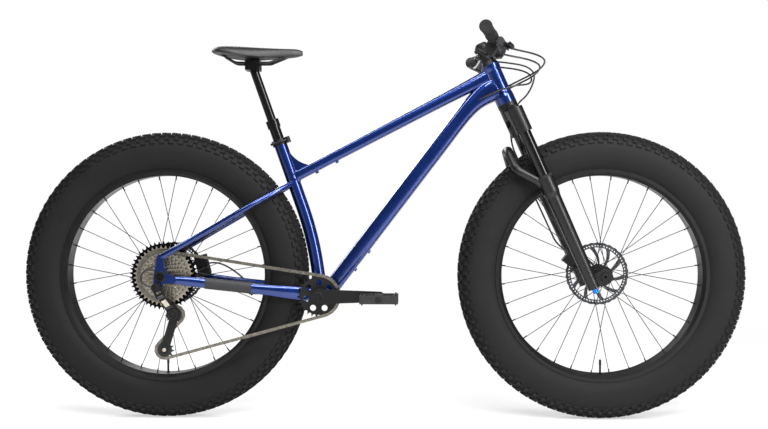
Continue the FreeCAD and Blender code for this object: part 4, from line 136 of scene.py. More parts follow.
looks = {
    "mouldedTyreRubber": {
        "dark": "#0d0d0e", "light": "#171718", "rough": 0.68, "roughSpread": 0.1, "metal": 0.0,
        "patchMm": 60, "grainMm": 1.2, "grainStrength": 0.4, "edgeMm": 0.8, "specular": 0.16,
    },
    "satinBlackAnodisedAlloy": {
        "dark": "#0b0b0c", "light": "#121214", "rough": 0.38, "roughSpread": 0.08, "metal": 0.2,
        "patchMm": 40, "grainMm": 0.6, "grainStrength": 0.15, "edgeMm": 0.6, "specular": 0.32,
    },
    "blackOxideSteel": {
        "dark": "#101011", "light": "#191919", "rough": 0.45, "roughSpread": 0.1, "metal": 0.5,
        "patchMm": 20, "grainMm": 0.6, "grainStrength": 0.15, "edgeMm": 0.3,
    },
    # The ground steel is painted darker than bare steel, as shade on the rotors on the bicycle's far side;
    # the mech's link takes the same darkened steel.
    "groundSteelPaintedShade": {
        "dark": "#3c3d40", "light": "#5e6064", "rough": 0.33, "roughSpread": 0.08, "metal": 1.0,
        "patchMm": 16, "grainMm": 0.8, "grainStrength": 0.2, "edgeMm": 0.3,
    },
    # The chain's wide dark-to-light patches at link size are painted light and shade, standing in for lit
    # plates and shaded gaps on the oiled steel.
    "oiledChainSteelPaintedLight": {
        "dark": "#33312e", "light": "#aaa498", "rough": 0.34, "roughSpread": 0.1, "metal": 1.0,
        "patchMm": 6, "grainMm": 0.7, "grainStrength": 0.2, "edgeMm": 0.2, "paintedShadeMm": 8,
    },
    # Painted shade darkens the cassette between its cogs. The black from the largest cog inward is that
    # cog's own colour.
    "nickelPlatedSteel": {
        "dark": "#a39b8c", "light": "#d8d0bf", "rough": 0.32, "roughSpread": 0.1, "metal": 1.0,
        "patchMm": 7, "grainMm": 0.7, "grainStrength": 0.3, "edgeMm": 0.2, "paintedShadeMm": 9,
        "blackFrom": -0.060, "black": "#17171a",
    },
    "mouldedNylon": {
        "dark": "#0c0c0d", "light": "#141416", "rough": 0.5, "roughSpread": 0.08, "metal": 0.0,
        "patchMm": 30, "grainMm": 0.8, "grainStrength": 0.4, "edgeMm": 0.7,
    },
    "candyBluePaint": {
        "dark": "#01205f", "light": "#022a72", "rough": 0.3, "roughSpread": 0.04, "metal": 0.85,
        "patchMm": 120, "grainMm": 0.8, "grainStrength": 0.02, "edgeMm": 0, "coat": 1.0, "coatRough": 0.05,
    },
    "satinBlackForkPaint": {
        "dark": "#070708", "light": "#0b0b0c", "rough": 0.4, "roughSpread": 0.05, "metal": 0.0,
        "patchMm": 80, "grainMm": 0.7, "grainStrength": 0.12, "edgeMm": 1.2, "specular": 0.3,
        "coat": 0.12, "coatRough": 0.2,
    },
    "glossBlackTube": {
        "dark": "#0a0a0b", "light": "#101011", "rough": 0.16, "roughSpread": 0.03, "metal": 0.3,
        "patchMm": 50, "grainMm": 0.5, "grainStrength": 0.05, "edgeMm": 0.5,
    },
    "saddleSynthetic": {
        "dark": "#0c0c0d", "light": "#131315", "rough": 0.5, "roughSpread": 0.06, "metal": 0.0,
        "patchMm": 45, "grainMm": 1.4, "grainStrength": 0.5, "edgeMm": 0.8,
    },
    "blueAnodisedAlloy": {
        "dark": "#0b5fc4", "light": "#1878e0", "rough": 0.3, "roughSpread": 0.05, "metal": 0.8,
        "patchMm": 12, "grainMm": 0.5, "grainStrength": 0.1, "edgeMm": 0.4,
    },
    "gripRubber": {
        "dark": "#0b0b0c", "light": "#131314", "rough": 0.8, "roughSpread": 0.06, "metal": 0.0,
        "patchMm": 25, "grainMm": 0.9, "grainStrength": 0.5, "edgeMm": 0.5, "specular": 0.35,
    },
    "hoseJacket": {
        "dark": "#101011", "light": "#171718", "rough": 0.38, "roughSpread": 0.05, "metal": 0.0,
        "patchMm": 30, "grainMm": 0.6, "grainStrength": 0.1, "edgeMm": 0.3,
    },
    "guardRubber": {
        "dark": "#151517", "light": "#1d1d20", "rough": 0.6, "roughSpread": 0.06, "metal": 0.0,
        "patchMm": 30, "grainMm": 1.0, "grainStrength": 0.4, "edgeMm": 0.8,
    },
}
finishes = {name: finish(name, look) for name, look in looks.items()}
nodeFinish = {
    "satinBlackAnodisedAlloy": (
        "front_rim rear_rim front_hub rear_hub right_crank_arm left_crank_arm bearing_cups seat_collar "
        "seat_clamp_lever stem handlebar headset_spacers derailleur_fixed_knuckle "
        "derailleur_moving_knuckle front_caliper rear_caliper right_brake_lever left_brake_lever "
        "front_thru_axle rear_thru_axle"
    ),
    "blackOxideSteel": "front_spokes rear_spokes chainring saddle_rails derailleur_cage",
    "groundSteelPaintedShade": "derailleur_link",
    "nickelPlatedSteel": "cassette",
    "mouldedNylon": (
        "right_pedal left_pedal guide_pulley tension_pulley brake_lever_bodies bar_controls "
        "shift_thumb_lever shift_release_lever dropper_lever"
    ),
    "candyBluePaint": "head_tube seat_tube top_tube down_tube rear_stays dropouts bottom_bracket_shell",
    "satinBlackForkPaint": "fork_crown fork_lowers",
    "glossBlackTube": "stanchions dropper_outer_tube dropper_inner_tube",
    "blueAnodisedAlloy": "rebound_knob",
    "guardRubber": "chainstay_guard",
}
for name, members in nodeFinish.items():
    for node in members.split():
        cadNodes[node].data.materials.clear()
        cadNodes[node].data.materials.append(finishes[name])
print("materials made")


# Quads of a grid of points, joined round either way where the grid closes on itself.
def gridFaces(rows, cols, closeRows, closeCols):
    lastRow, lastCol = rows if closeRows else rows - 1, cols if closeCols else cols - 1
    row, col = np.meshgrid(np.arange(lastRow), np.arange(lastCol), indexing="ij")
    nextRow, nextCol = (row + 1) % rows, (col + 1) % cols
    corners = [row * cols + col, nextRow * cols + col, nextRow * cols + nextCol, row * cols + nextCol]
    return np.stack(corners, -1).reshape(-1, 4).tolist()


# Faces that close both ends of a tube of points.
def endCaps(rows, cols):
    return [list(range(cols)), list(range(rows * cols - 1, (rows - 1) * cols - 1, -1))]


# A rounded line through a row of corner points: each stretch is the quadratic curve from one
# midpoint to the next, pulled towards the corner between them, and the ends stay where they are.
def roundedLine(points, perCorner):
    points = np.asarray(points, float)
    middles = (points[:-1] + points[1:]) / 2
    middles[0], middles[-1] = points[0], points[-1]
    share = np.linspace(0, 1, perCorner, endpoint=False)[None, :, None]
    start, pull, end = middles[:-1, None], points[1:-1, None], middles[1:, None]
    curve = start * (1 - share) ** 2 + pull * 2 * share * (1 - share) + end * share ** 2
    return np.vstack([curve.reshape(-1, points.shape[1]), points[-1:]])


def unit(vector):
    vector = np.asarray(vector, float)
    return vector / np.linalg.norm(vector)


def unitRows(rows):
    return rows / np.linalg.norm(rows, axis=1, keepdims=True)


# A closed section carried along a path, one ring of points at each step, with both ends capped.
def carried(path, section, up):
    along = unitRows(np.gradient(path, axis=0))
    side = unitRows(np.cross(along, up))
    over = np.cross(side, along)
    points = path[:, None] + side[:, None] * section[:, :1] + over[:, None] * section[:, 1:]
    rows, cols = points.shape[:2]
    return points.reshape(-1, 3), gridFaces(rows, cols, False, True) + endCaps(rows, cols)


def ring(radius, steps):
    turn = np.linspace(0, 2 * np.pi, steps, endpoint=False)
    return np.stack([np.cos(turn), np.sin(turn)], 1) * radius


# A direction that no piece's axis has.
slantWay = (0.31, 0.87, 0.39)


# A profile of radius and height turned round an axis, from one end of the axis to the other.
def turnedPiece(profile, steps, centre, axis):
    profile, axis = np.asarray(profile, float), unit(axis)
    other = unit(np.cross(axis, slantWay))
    circle = ring(1.0, steps)
    spokes = circle[:, :1] * other + circle[:, 1:] * np.cross(axis, other)
    points = np.asarray(centre) + profile[:, None, :1] * spokes[None] + profile[:, None, 1:] * axis
    faces = gridFaces(len(profile), steps, False, True) + endCaps(len(profile), steps)
    return points.reshape(-1, 3), faces


# Several bodies of points and faces gathered into one.
def gathered(bodies):
    points, faces, count = [], [], 0
    for bodyPoints, bodyFaces in bodies:
        points.append(np.asarray(bodyPoints))
        faces += [[corner + count for corner in face] for face in bodyFaces]
        count += len(bodyPoints)
    return np.vstack(points), faces


sharpAngle = math.radians(35)


# One piece of the model from points in millimetres, its faces turned outward.
def addPiece(name, body, finishName, shape):
    points, faces = shape
    mesh = bpy.data.meshes.new(name)
    mesh.from_pydata((np.asarray(points) * mm).tolist(), [], faces)
    mesh.validate()
    mesh.materials.append(finishes[finishName])
    work = bpy.data.objects.new(name, mesh)
    bpy.context.scene.collection.objects.link(work)
    bpy.context.view_layer.objects.active = work
    work.select_set(True)
    bpy.ops.object.mode_set(mode="EDIT")
    bpy.ops.mesh.select_all(action="SELECT")
    bpy.ops.mesh.normals_make_consistent(inside=False)
    bpy.ops.object.mode_set(mode="OBJECT")
    work.select_set(False)
    mesh.shade_smooth()
    mesh.set_sharp_from_angle(angle=sharpAngle)
    if body:
        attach(work, body)
    return work


tyre = {
    # across from the middle and radius, down one side and then under the bed
    "halfSection": [
        (0, 397.0), (16, 397.0), (33, 391), (46, 380), (52, 362), (53.5, 343), (51, 322), (44, 306),
        (38.5, 299.5), (37.5, 297.0),
    ],
    "bed": [(36.0, 294.0), (20.0, 293.0), (-20.0, 293.0), (-36.0, 294.0)],
    "perCorner": 6,
    "steps": 180,
    "knobsAround": 88,
    "mirrorShift": 0.25,
    # way along the section from the middle, half length round, half width across, height, shift round
    "knobRows": [
        (7.0, 7.0, 5.0, 6.0, 0.0), (20.0, 6.0, 5.5, 6.0, 0.5), (33.0, 7.5, 4.8, 5.5, 0.0),
        (46.5, 6.0, 5.0, 5.2, 0.5), (57.5, 8.0, 3.6, 4.0, 0.0),
    ],
    # share of the knob's height, step from there, and scale across
    "knobLevels": [(0, -1.5, 1.08), (1, -0.8, 0.92), (1, 0, 0.8)],
}


# The casing is its section turned round the axle. Knobs stand square to the casing in staggered
# rows on both sides, each a block that narrows outward, so one table row gives a ring of them.
def tyreShape(axleX):
    half = roundedLine(tyre["halfSection"], tyre["perCorner"])
    reach = np.concatenate([[0], np.cumsum(np.linalg.norm(np.diff(half, axis=0), axis=1))])
    outside = np.vstack([half[::-1] * (-1, 1), half[1:]])
    section = np.vstack([outside, tyre["bed"]])
    turn = np.linspace(0, 2 * np.pi, tyre["steps"], endpoint=False)
    out = np.stack([np.cos(turn), np.zeros_like(turn), np.sin(turn)], 1)
    casing = out[:, None] * section[None, :, 1:] + np.array([0, 1, 0]) * section[None, :, :1]
    bodies = [(casing.reshape(-1, 3), gridFaces(tyre["steps"], len(section), True, True))]
    slope = np.gradient(half, reach, axis=0)
    levels = len(tyre["knobLevels"])
    block = np.array(gridFaces(levels, 4, False, True) + endCaps(levels, 4))
    for way, halfLong, halfWide, height, shift in tyre["knobRows"]:
        spot = np.array([np.interp(way, reach, half[:, at]) for at in (0, 1)])
        along = np.array([np.interp(way, reach, slope[:, at]) for at in (0, 1)])
        along = unit(along)
        count = tyre["knobsAround"]
        for side in (1, -1):
            late = tyre["mirrorShift"] if side < 0 else 0
            at = (np.arange(count) + shift + late) * 2 * np.pi / count
            radial = np.stack([np.cos(at), np.zeros(count), np.sin(at)], 1)
            forward = np.stack([-np.sin(at), np.zeros(count), np.cos(at)], 1)
            axle = np.array([0, side, 0])
            wide = radial * along[1] + axle * along[0]
            proud = radial * along[0] - axle * along[1]
            base = radial * spot[1] + axle * spot[0]
            corners = []
            for share, step, scale in tyre["knobLevels"]:
                for onward, sideways in ((-1, -1), (1, -1), (1, 1), (-1, 1)):
                    corner = forward * onward * halfLong + wide * sideways * halfWide
                    corners.append(base + corner * scale + proud * (share * height + step))
            points = np.stack(corners, 1)
            faces = np.arange(count)[:, None, None] * levels * 4 + block
            bodies.append((points.reshape(-1, 3), faces.reshape(-1, 4).tolist()))
    points, faces = gathered(bodies)
    return points + (axleX, 0, axleHeight), faces


for side, axleX in axles.items():
    casing = tyreShape(axleX)
    piece = addPiece(f"{side}_tyre_tread", f"{side}_wheel", "mouldedTyreRubber", casing)
    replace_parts(piece, f"{side}_tyre")
print("tyres made")

hoses = {
    "radius": 2.5,
    "steps": 14,
    "perCorner": 14,
    "rearBrake": [
        (323.5, -194.6, 1026.5), (330.4, -155.2, 1025.1), (451.1, -85.0, 1009.4), (451.1, 10.0, 985.4),
        (371.1, 44.0, 947.4), (287.1, 42.0, 905.4), (261.6, 16.0, 893.4),
    ],
    "shift": [
        (293.8, -191.9, 1012.4), (300.8, -152.5, 1010.9), (436.1, -95.0, 993.4), (437.1, 0.0, 969.4),
        (363.1, 50.0, 935.4), (277.1, 46.0, 890.4), (243.6, 16.0, 873.0),
    ],
    "dropper": [
        (293.8, 191.9, 1012.4), (300.8, 152.5, 1010.9), (421.1, 95.0, 990.4), (423.1, -5.0, 940.4),
        (359.1, -46.0, 933.4), (287.1, -42.0, 903.4), (261.6, -16.0, 893.4),
    ],
    "frontBrake": [
        (323.5, 194.6, 1026.5), (330.4, 155.2, 1025.1), (443.1, 80.0, 997.4), (425.1, 98.0, 925.4),
        (378.6, 110.1, 887.6), (364.9, 110.1, 789.5), (400.2, 99.6, 710.0), (438.5, 99.6, 624.1),
        (485.0, 84.0, 519.5), (496.5, 50.5, 487.6), (528.6, 50.5, 464.3),
    ],
    "rearTail": [
        (-512.5, 74.0, 429.9), (-485.5, 74.0, 437.2), (-428.0, 82.1, 404.8), (-400.0, 82.1, 376.8),
    ],
    "mechLoop": [
        (-611.0, -101.5, 441.0), (-635.0, -110.5, 429.0), (-665.0, -114.5, 413.0), (-659.0, -116.5, 377.0),
        (-621.0, -116.5, 373.0),
    ],
}


# A round hose along its rounded line. No stretch of the line may run along the way that is up.
def hoseRun(name, up):
    line = roundedLine(hoses[name], hoses["perCorner"])
    return carried(line, ring(hoses["radius"], hoses["steps"]), up)


runs = [hoseRun(name, (0.2, 0.1, 1)) for name in ("rearBrake", "shift", "dropper")]
piece = addPiece("control_hose_runs", None, "hoseJacket", gathered(runs))
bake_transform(piece)
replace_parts(piece, "control_hoses")
run = hoseRun("frontBrake", (0.2, 0.9, 0.3))
piece = addPiece("front_brake_hose_run", None, "hoseJacket", run)
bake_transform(piece)
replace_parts(piece, "front_brake_hose")
print("hoses made")


# A block with rounded edges: each point of a divided cube is pulled onto a smaller box
# and pushed out by the radius.
def roundBlock(centre, axes, half, radius):
    steps = 9
    line = np.sin(np.linspace(-1, 1, steps) * np.pi / 2)
    across, up = np.meshgrid(line, line, indexing="ij")
    points, faces = [], []
    for axis in range(3):
        for sign in (-1, 1):
            side = np.empty((steps, steps, 3))
            side[..., axis] = sign
            side[..., (axis + 1) % 3] = across
            side[..., (axis + 2) % 3] = up
            start = len(points) * steps * steps
            points.append(side.reshape(-1, 3))
            faces += (np.array(gridFaces(steps, steps, False, False)) + start).tolist()
    points = np.vstack(points) * half
    inner = np.clip(points, -(np.array(half) - radius), np.array(half) - radius)
    points = inner + unitRows(points - inner) * radius
    return np.asarray(centre) + points @ np.asarray(axes, float), faces


# Shares of a bolt head's radius and height, from its socket's floor to its outer edge.
boltShares = [(0.5, 0.35), (0.5, 1.0), (0.88, 1.0), (1.0, 0.85)]
seatDepth, boltSteps, capSteps = 1.0, 20, 40


# A hollow-headed bolt standing on its seat.
def socketBolt(centre, axis, radius, height):
    profile = [(radius * out, height * up) for out, up in boltShares] + [(radius, -seatDepth)]
    return turnedPiece(profile, boltSteps, centre, axis)


# A plain round part: a disc with a small chamfer at its outer end.
def capDisc(centre, axis, radius, height, chamfer):
    profile = [(radius, -seatDepth), (radius, height - chamfer), (radius - chamfer, height)]
    return turnedPiece(profile, capSteps, centre, axis)


# A shape and its mirror image on the bicycle's other side.
def bothSides(shape):
    points, faces = shape
    return gathered([shape, (np.asarray(points) * (1, -1, 1), [face[::-1] for face in faces])])


left = np.array([0, 1.0, 0])
steerUp, steerFore = np.array([-0.4067, 0, 0.9135]), np.array([0.9135, 0, 0.4067])
steerFoot = np.array([572.8, 0, 385.1])


# A place ahead of the steering axis, across it, and up along it from its foot.
def onFork(ahead, across, up):
    return steerFoot + steerFore * ahead + left * across + steerUp * up


saddle = {
    "tail": -482.4,
    "length": 254.0,
    # share of the length from the tail, half width, height of the top, depth of the side
    "rows": [
        (0.0, 24, 1043.0, 10), (0.03, 42, 1046.5, 15), (0.10, 63, 1049.5, 21), (0.22, 72, 1049.0, 26),
        (0.34, 66, 1047.5, 28), (0.46, 50, 1046.0, 28), (0.58, 34, 1045.0, 27), (0.72, 25, 1044.5, 25),
        (0.86, 20.5, 1043.5, 22), (0.95, 16.5, 1041.5, 18), (1.0, 8, 1036.0, 10),
    ],
    "perRow": 6,
    "steps": 72,
    "sidePower": 0.72,
    "topPower": 0.85,
    "underShare": 0.22,
    "channelDepth": 5.0,
    "channelWidth": 9.0,
    # shares of the length between which the channel runs, and over which it fades in and out
    "channelFrom": 0.05, "channelTo": 0.95, "channelFade": 0.2,
}


# Each section is a flat-topped oval: the top half rises by the side's depth and the underside is
# nearly flat. A shallow channel runs down the middle of the top.
def saddleShape():
    rows = roundedLine(saddle["rows"], saddle["perRow"])
    turn = np.linspace(0, 2 * np.pi, saddle["steps"], endpoint=False)
    onTop, rise = turn < np.pi, np.abs(np.sin(turn))
    flat = np.sign(np.cos(turn)) * np.abs(np.cos(turn)) ** saddle["sidePower"]
    lift = np.where(onTop, rise ** saddle["topPower"], -saddle["underShare"] * rise)
    share, wide, top, deep = (rows[:, at, None] for at in range(4))
    across = wide * flat
    height = top - deep + deep * lift
    inside = np.minimum(share - saddle["channelFrom"], saddle["channelTo"] - share)
    window = np.clip(inside / saddle["channelFade"], 0, 1)
    channel = saddle["channelDepth"] * window * np.exp(-((across / saddle["channelWidth"]) ** 2))
    height -= np.where(onTop, channel, 0)
    along = np.broadcast_to(saddle["tail"] + saddle["length"] * share, across.shape)
    points = np.stack([along, across, height], -1).reshape(-1, 3)
    return points, gridFaces(len(rows), len(turn), False, True) + endCaps(len(rows), len(turn))


piece = addPiece("saddle_pad", "saddle_post", "saddleSynthetic", saddleShape())
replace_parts(piece, "saddle")
print("saddle made")

barTip, barHand = np.array([266.7, -387.0, 1047.2]), np.array([293.9, -233.5, 1041.5])
gripWay = unit(barTip - barHand)
grip = {
    "length": 132.0,
    "radius": 15.4,
    "hole": 11.3,
    "steps": 32,
    # radius and height of the rounded outer end
    "end": [(11.3, 5.2), (13.0, 5.6), (15.0, 5.4), (16.6, 4.0), (17.0, 2.0), (17.0, -1.0), (15.6, -2.5)],
    # the stretch with grooves is this far from either end
    "grooveStart": 4.0, "grooveStop": 14.0,
    "pitch": 4.0, "ridge": 2.4, "groove": 14.5, "grooveFrom": 2.7, "grooveTo": 3.7,
    # the last plain stretch, from the inner end
    "plainFrom": 12.0, "plainTo": 10.5,
    "collar": [(11.3, 10.5), (16.2, 10.5), (16.8, 9.6), (16.8, 0.8), (16.2, 0), (11.3, 0)],
    "collarInset": 1.0,
    "collarSteps": 40,
}


# The grip's profile has a rounded end and rows of grooves. A collar of its own holds its inner end.
def gripShape():
    rows = list(grip["end"])
    for start in np.arange(grip["grooveStart"], grip["length"] - grip["grooveStop"], grip["pitch"]):
        rows += [(grip["radius"], -start), (grip["radius"], -start - grip["ridge"])]
        rows += [(grip["groove"], -start - grip["grooveFrom"]), (grip["groove"], -start - grip["grooveTo"])]
    plainFrom, plainTo = grip["plainFrom"] - grip["length"], grip["plainTo"] - grip["length"]
    rows += [(grip["radius"], plainFrom), (grip["radius"], plainTo), (grip["hole"], plainTo)]
    return turnedPiece(rows, grip["steps"], barTip, gripWay)


piece = addPiece("lock_on_grips", "steering", "gripRubber", bothSides(gripShape()))
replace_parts(piece, "grips")
collarAt = barTip - gripWay * (grip["length"] - grip["collarInset"])
collars = bothSides(turnedPiece(grip["collar"], grip["collarSteps"], collarAt, gripWay))
addPiece("grip_collars", "steering", "satinBlackAnodisedAlloy", collars)
print("grips made")

runs = [hoseRun(name, (0.1, 1, 0.2)) for name in ("rearTail", "mechLoop")]
piece = addPiece("rear_housing_runs", "frame", "hoseJacket", gathered(runs))
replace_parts(piece, "rear_housings")
print("rear housings made")

wheel = {
    "spokes": 32,
    "spread": 14.0,
    "seatRadius": 281.0,
    # radius and height of a nipple and of the valve, from the rim's bed towards the hub
    "nipple": [(2.85, -0.5), (2.85, 1.0), (1.9, 1.6), (1.9, 12.0)],
    "nippleSteps": 10,
    "valve": [(4.6, -0.5), (4.6, 3.0), (3.0, 3.4), (3.0, 26.0), (3.6, 26.4), (3.6, 40.0), (2.6, 42.0)],
    "valveSteps": 18,
    "valveTurn": math.radians(-90),
}


def onRim(axleX, across, turn, kind):
    out = np.array([math.cos(turn), 0, math.sin(turn)])
    base = np.array([axleX, across, axleHeight]) + out * wheel["seatRadius"]
    return turnedPiece(wheel[kind], wheel[f"{kind}Steps"], base, -out)


# Nipples stand in the rim bed where the spokes end, and a valve stem stands between two of them.
def wheelFittings(axleX):
    bodies = []
    for at in range(wheel["spokes"]):
        across = wheel["spread"] if at % 2 == 0 else -wheel["spread"]
        bodies.append(onRim(axleX, across, 2 * np.pi * (at + 0.5) / wheel["spokes"], "nipple"))
    bodies.append(onRim(axleX, 0, wheel["valveTurn"], "valve"))
    return gathered(bodies)


for side, axleX in axles.items():
    fittings = wheelFittings(axleX)
    addPiece(f"{side}_nipples_and_valve", f"{side}_wheel", "blackOxideSteel", fittings)
print("wheel fittings made")

# Fasteners and caps on the steering assembly: faceplate bolts, lugs and bolts of the steerer clamp,
# the top cap with its bolt, and a stepped cap over each stanchion.
fasteners = {
    "barCentre": (324.7, 0, 1035.2),
    "neck": (40.0, 0, 3.0),
    "faceAcross": 18.0, "faceUp": 16.5,
    "boss": [(4.4, -8.0), (4.4, 9.0), (3.9, 9.6)],
    "bossSteps": 24,
    "bossFace": 9.0,
    # radius and height of the bolts' heads
    "bolt": (3.4, 3.0), "topBolt": (4.5, 1.6),
    "lugUps": (699.0, 717.0),
    "lugAhead": -20.0,
    "lugHalf": (4.5, 12.0, 5.0),
    "lugRounding": 2.5,
    # ahead and across
    "lugBolt": (-20.5, -11.5),
    "topUp": 731.0, "topBoltUp": 733.0,
    # radius, height and chamfer
    "topCap": (16.5, 2.2, 1.2),
    # up the steering axis, radius, height and chamfer
    "legCaps": [(526.0, 14.0, 6.0, 1.6), (532.0, 8.5, 4.0, 1.4)],
    "legAhead": 4, "legAcross": 84.0,
    "sealUp": 317.0,
    "seal": [(17.4, 7.0), (20.5, 6.4), (22.4, 4.5), (23.2, 1.0), (23.2, -1.0), (17.4, -1.0)],
    "sealSteps": 40,
}
neckWay = unit(fasteners["neck"])
neckUp = np.cross(neckWay, left)
steeringBolts = []
for across in (-fasteners["faceAcross"], fasteners["faceAcross"]):
    for high in (-fasteners["faceUp"], fasteners["faceUp"]):
        spot = np.array(fasteners["barCentre"]) + left * across + neckUp * high
        steeringBolts.append(turnedPiece(fasteners["boss"], fasteners["bossSteps"], spot, neckWay))
        head = spot + neckWay * fasteners["bossFace"]
        steeringBolts.append(socketBolt(head, neckWay, *fasteners["bolt"]))
for up in fasteners["lugUps"]:
    spot, axes = onFork(fasteners["lugAhead"], 0, up), (steerFore, left, steerUp)
    steeringBolts.append(roundBlock(spot, axes, fasteners["lugHalf"], fasteners["lugRounding"]))
    steeringBolts.append(socketBolt(onFork(*fasteners["lugBolt"], up), -left, *fasteners["bolt"]))
steeringBolts.append(capDisc(onFork(0, 0, fasteners["topUp"]), steerUp, *fasteners["topCap"]))
steeringBolts.append(socketBolt(onFork(0, 0, fasteners["topBoltUp"]), steerUp, *fasteners["topBolt"]))
seals = []
for across in (-fasteners["legAcross"], fasteners["legAcross"]):
    for up, *size in fasteners["legCaps"]:
        steeringBolts.append(capDisc(onFork(fasteners["legAhead"], across, up), steerUp, *size))
    spot = onFork(fasteners["legAhead"], across, fasteners["sealUp"])
    seals.append(turnedPiece(fasteners["seal"], fasteners["sealSteps"], spot, steerUp))
fixings = gathered(steeringBolts)
addPiece("stem_and_crown_fasteners", "steering", "satinBlackAnodisedAlloy", fixings)
addPiece("fork_wiper_seals", "fork_slider", "gripRubber", gathered(seals))
print("fork fittings made")

crank = {
    "centre": (-176.5, 0, 348.0),
    "outer": 107.0,
    "pedalAt": 170.0,
    # side across and heading of each arm
    "sides": {"right": (-1, 1), "left": (1, -1)},
    # radius and height of the spindle's cap, from its rim to its socket
    "cap": [
        (13.0, -1.0), (13.0, 1.6), (12.2, 2.2), (10.6, 2.2), (8.4, 1.6), (8.0, -0.1), (6.8, -0.1),
        (6.4, 1.2), (3.8, 1.2), (3.4, 0.2),
    ],
    "capSteps": 48,
    # radius, height and chamfer of the pedal axle's cap on the arm
    "axleCap": (9.0, 1.6, 0.6),
}
crankCentre = np.array(crank["centre"])
crankBolts = []
for side, heading in crank["sides"].values():
    face = crankCentre + left * side * crank["outer"]
    crankBolts.append(turnedPiece(crank["cap"], crank["capSteps"], face, left * side))
    end = face + np.array([heading * crank["pedalAt"], 0, 0])
    crankBolts.append(capDisc(end, left * side, *crank["axleCap"]))
addPiece("crank_caps", "crankset", "satinBlackAnodisedAlloy", gathered(crankBolts))

# Pins stand on both faces of each platform pedal, along its front and rear rails, and a cap
# closes the outer end of its axle.
pedal = {
    "along": (-45.0, 45.0),
    "across": (118.0, 139.0, 160.0, 181.0, 200.0),
    "face": 11.0,
    "pin": [(1.9, -0.5), (1.9, 3.2), (1.4, 3.8)],
    "pinSteps": 10,
    "end": 208.0,
    # radius, height and chamfer
    "endCap": (8.5, 2.2, 0.8),
}
for name, (side, heading) in crank["sides"].items():
    middle = crankCentre + np.array([heading * crank["pedalAt"], 0, 0])
    pins = []
    for along in pedal["along"]:
        for across in pedal["across"]:
            for up in (-1, 1):
                base = middle + np.array([along, side * across, up * pedal["face"]])
                pins.append(turnedPiece(pedal["pin"], pedal["pinSteps"], base, (0, 0, up)))
    pins.append(capDisc(middle + left * side * pedal["end"], left * side, *pedal["endCap"]))
    addPiece(f"{name}_pedal_pins", f"{name}_platform", "blackOxideSteel", gathered(pins))
print("crank and pedal fittings made")


# A plate in the wheel's plane from lines of radius and turn: cells that are absent are open,
# and walls close each edge.
def piercedDisc(radii, turns, present, centre, low, high):
    lines, cols = radii.shape
    flat = np.stack([np.cos(turns) * radii, np.zeros_like(radii), np.sin(turns) * radii], -1).reshape(-1, 3)
    points = np.vstack([flat + (0, low, 0), flat + (0, high, 0)]) + centre
    index = np.arange(lines * cols).reshape(lines, cols)
    ahead = np.roll(index, -1, 1)
    first, second, third, fourth = index[:-1], index[1:], ahead[1:], ahead[:-1]
    blank = np.zeros((1, cols), bool)
    inner, outer = np.vstack([blank, present[:-1]]), np.vstack([present[1:], blank])
    sheet = np.stack([first, second, third, fourth], -1)[present]
    over = lines * cols
    faces = [sheet, sheet[:, ::-1] + over]
    edges = (
        (first, fourth, inner), (second, third, outer), (fourth, third, np.roll(present, -1, 1)),
        (first, second, np.roll(present, 1, 1)),
    )
    for start, end, beyond in edges:
        pair = np.stack([start, end], -1)[present & ~beyond]
        faces.append(np.concatenate([pair, pair[:, ::-1] + over], 1))
    used, back = np.unique(np.vstack(faces), return_inverse=True)
    return points[used], back.reshape(-1, 4).tolist()


rotor = {
    # radius of each line, and what the stretches between the lines hold
    "lines": [11.1, 24.0, 34.0, 45.0, 56.0, 66.0, 75.0, 78.5, 82.0, 86.5, 90.0],
    "stretches": ["solid"] + ["arm"] * 5 + ["solid", "vent", "solid", "solid"],
    "columns": 360,
    "arms": 10,
    "armShare": 0.26,
    "vents": 60,
    "ventShare": 0.5,
    # the arms lean by this turn between their radii, and the track by this turn per millimetre
    "armFrom": 24.0, "armTo": 75.0, "lean": 0.42, "trackLean": 0.006,
    "wave": 0.9,
    # inner and outer face across the bicycle
    "faces": {"front": (59.0, 61.0), "rear": (82.5, 84.5)},
    "lockring": [(13.0, 0.0), (19.0, 0.0), (19.6, 0.8), (19.6, 3.4), (18.6, 4.4), (13.0, 4.4)],
    "lockringSteps": 48,
    "lockringSink": 0.2,
}


# The brake track has a row of slanted vents and a wavy edge. Leaning arms carry it from a solid
# centre ring.
def rotorShape(axleX, low, high):
    radius, cols = np.array(rotor["lines"]), rotor["columns"]
    turn = np.linspace(0, 2 * np.pi, cols, endpoint=False)
    armLength = rotor["armTo"] - rotor["armFrom"]
    lean = np.clip((radius - rotor["armFrom"]) / armLength, 0, 1) * rotor["lean"]
    lean += np.maximum(radius - rotor["armTo"], 0) * rotor["trackLean"]
    radii = np.repeat(radius[:, None], cols, 1)
    radii[-1] += rotor["wave"] * (np.cos(turn * rotor["vents"] / 2) - 1)
    turns = turn[None] + lean[:, None]
    at = np.arange(cols)
    cells = {
        "solid": np.ones(cols, bool),
        "arm": (at * rotor["arms"] / cols) % 1 < rotor["armShare"],
        "vent": (at * rotor["vents"] / cols) % 1 >= rotor["ventShare"],
    }
    present = np.array([cells[kind] for kind in rotor["stretches"]])
    return piercedDisc(radii, turns, present, np.array([axleX, 0, axleHeight]), low, high)


for side, axleX in axles.items():
    low, high = rotor["faces"][side]
    disc = rotorShape(axleX, low, high)
    # The rotors take steel painted darker, as shade on the far side.
    piece = addPiece(f"{side}_vented_rotor", f"{side}_wheel", "groundSteelPaintedShade", disc)
    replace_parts(piece, f"{side}_rotor")
    centre = (axleX, high - rotor["lockringSink"], axleHeight)
    nut = turnedPiece(rotor["lockring"], rotor["lockringSteps"], centre, left)
    addPiece(f"{side}_rotor_lockring", f"{side}_wheel", "satinBlackAnodisedAlloy", nut)
print("rotors made")

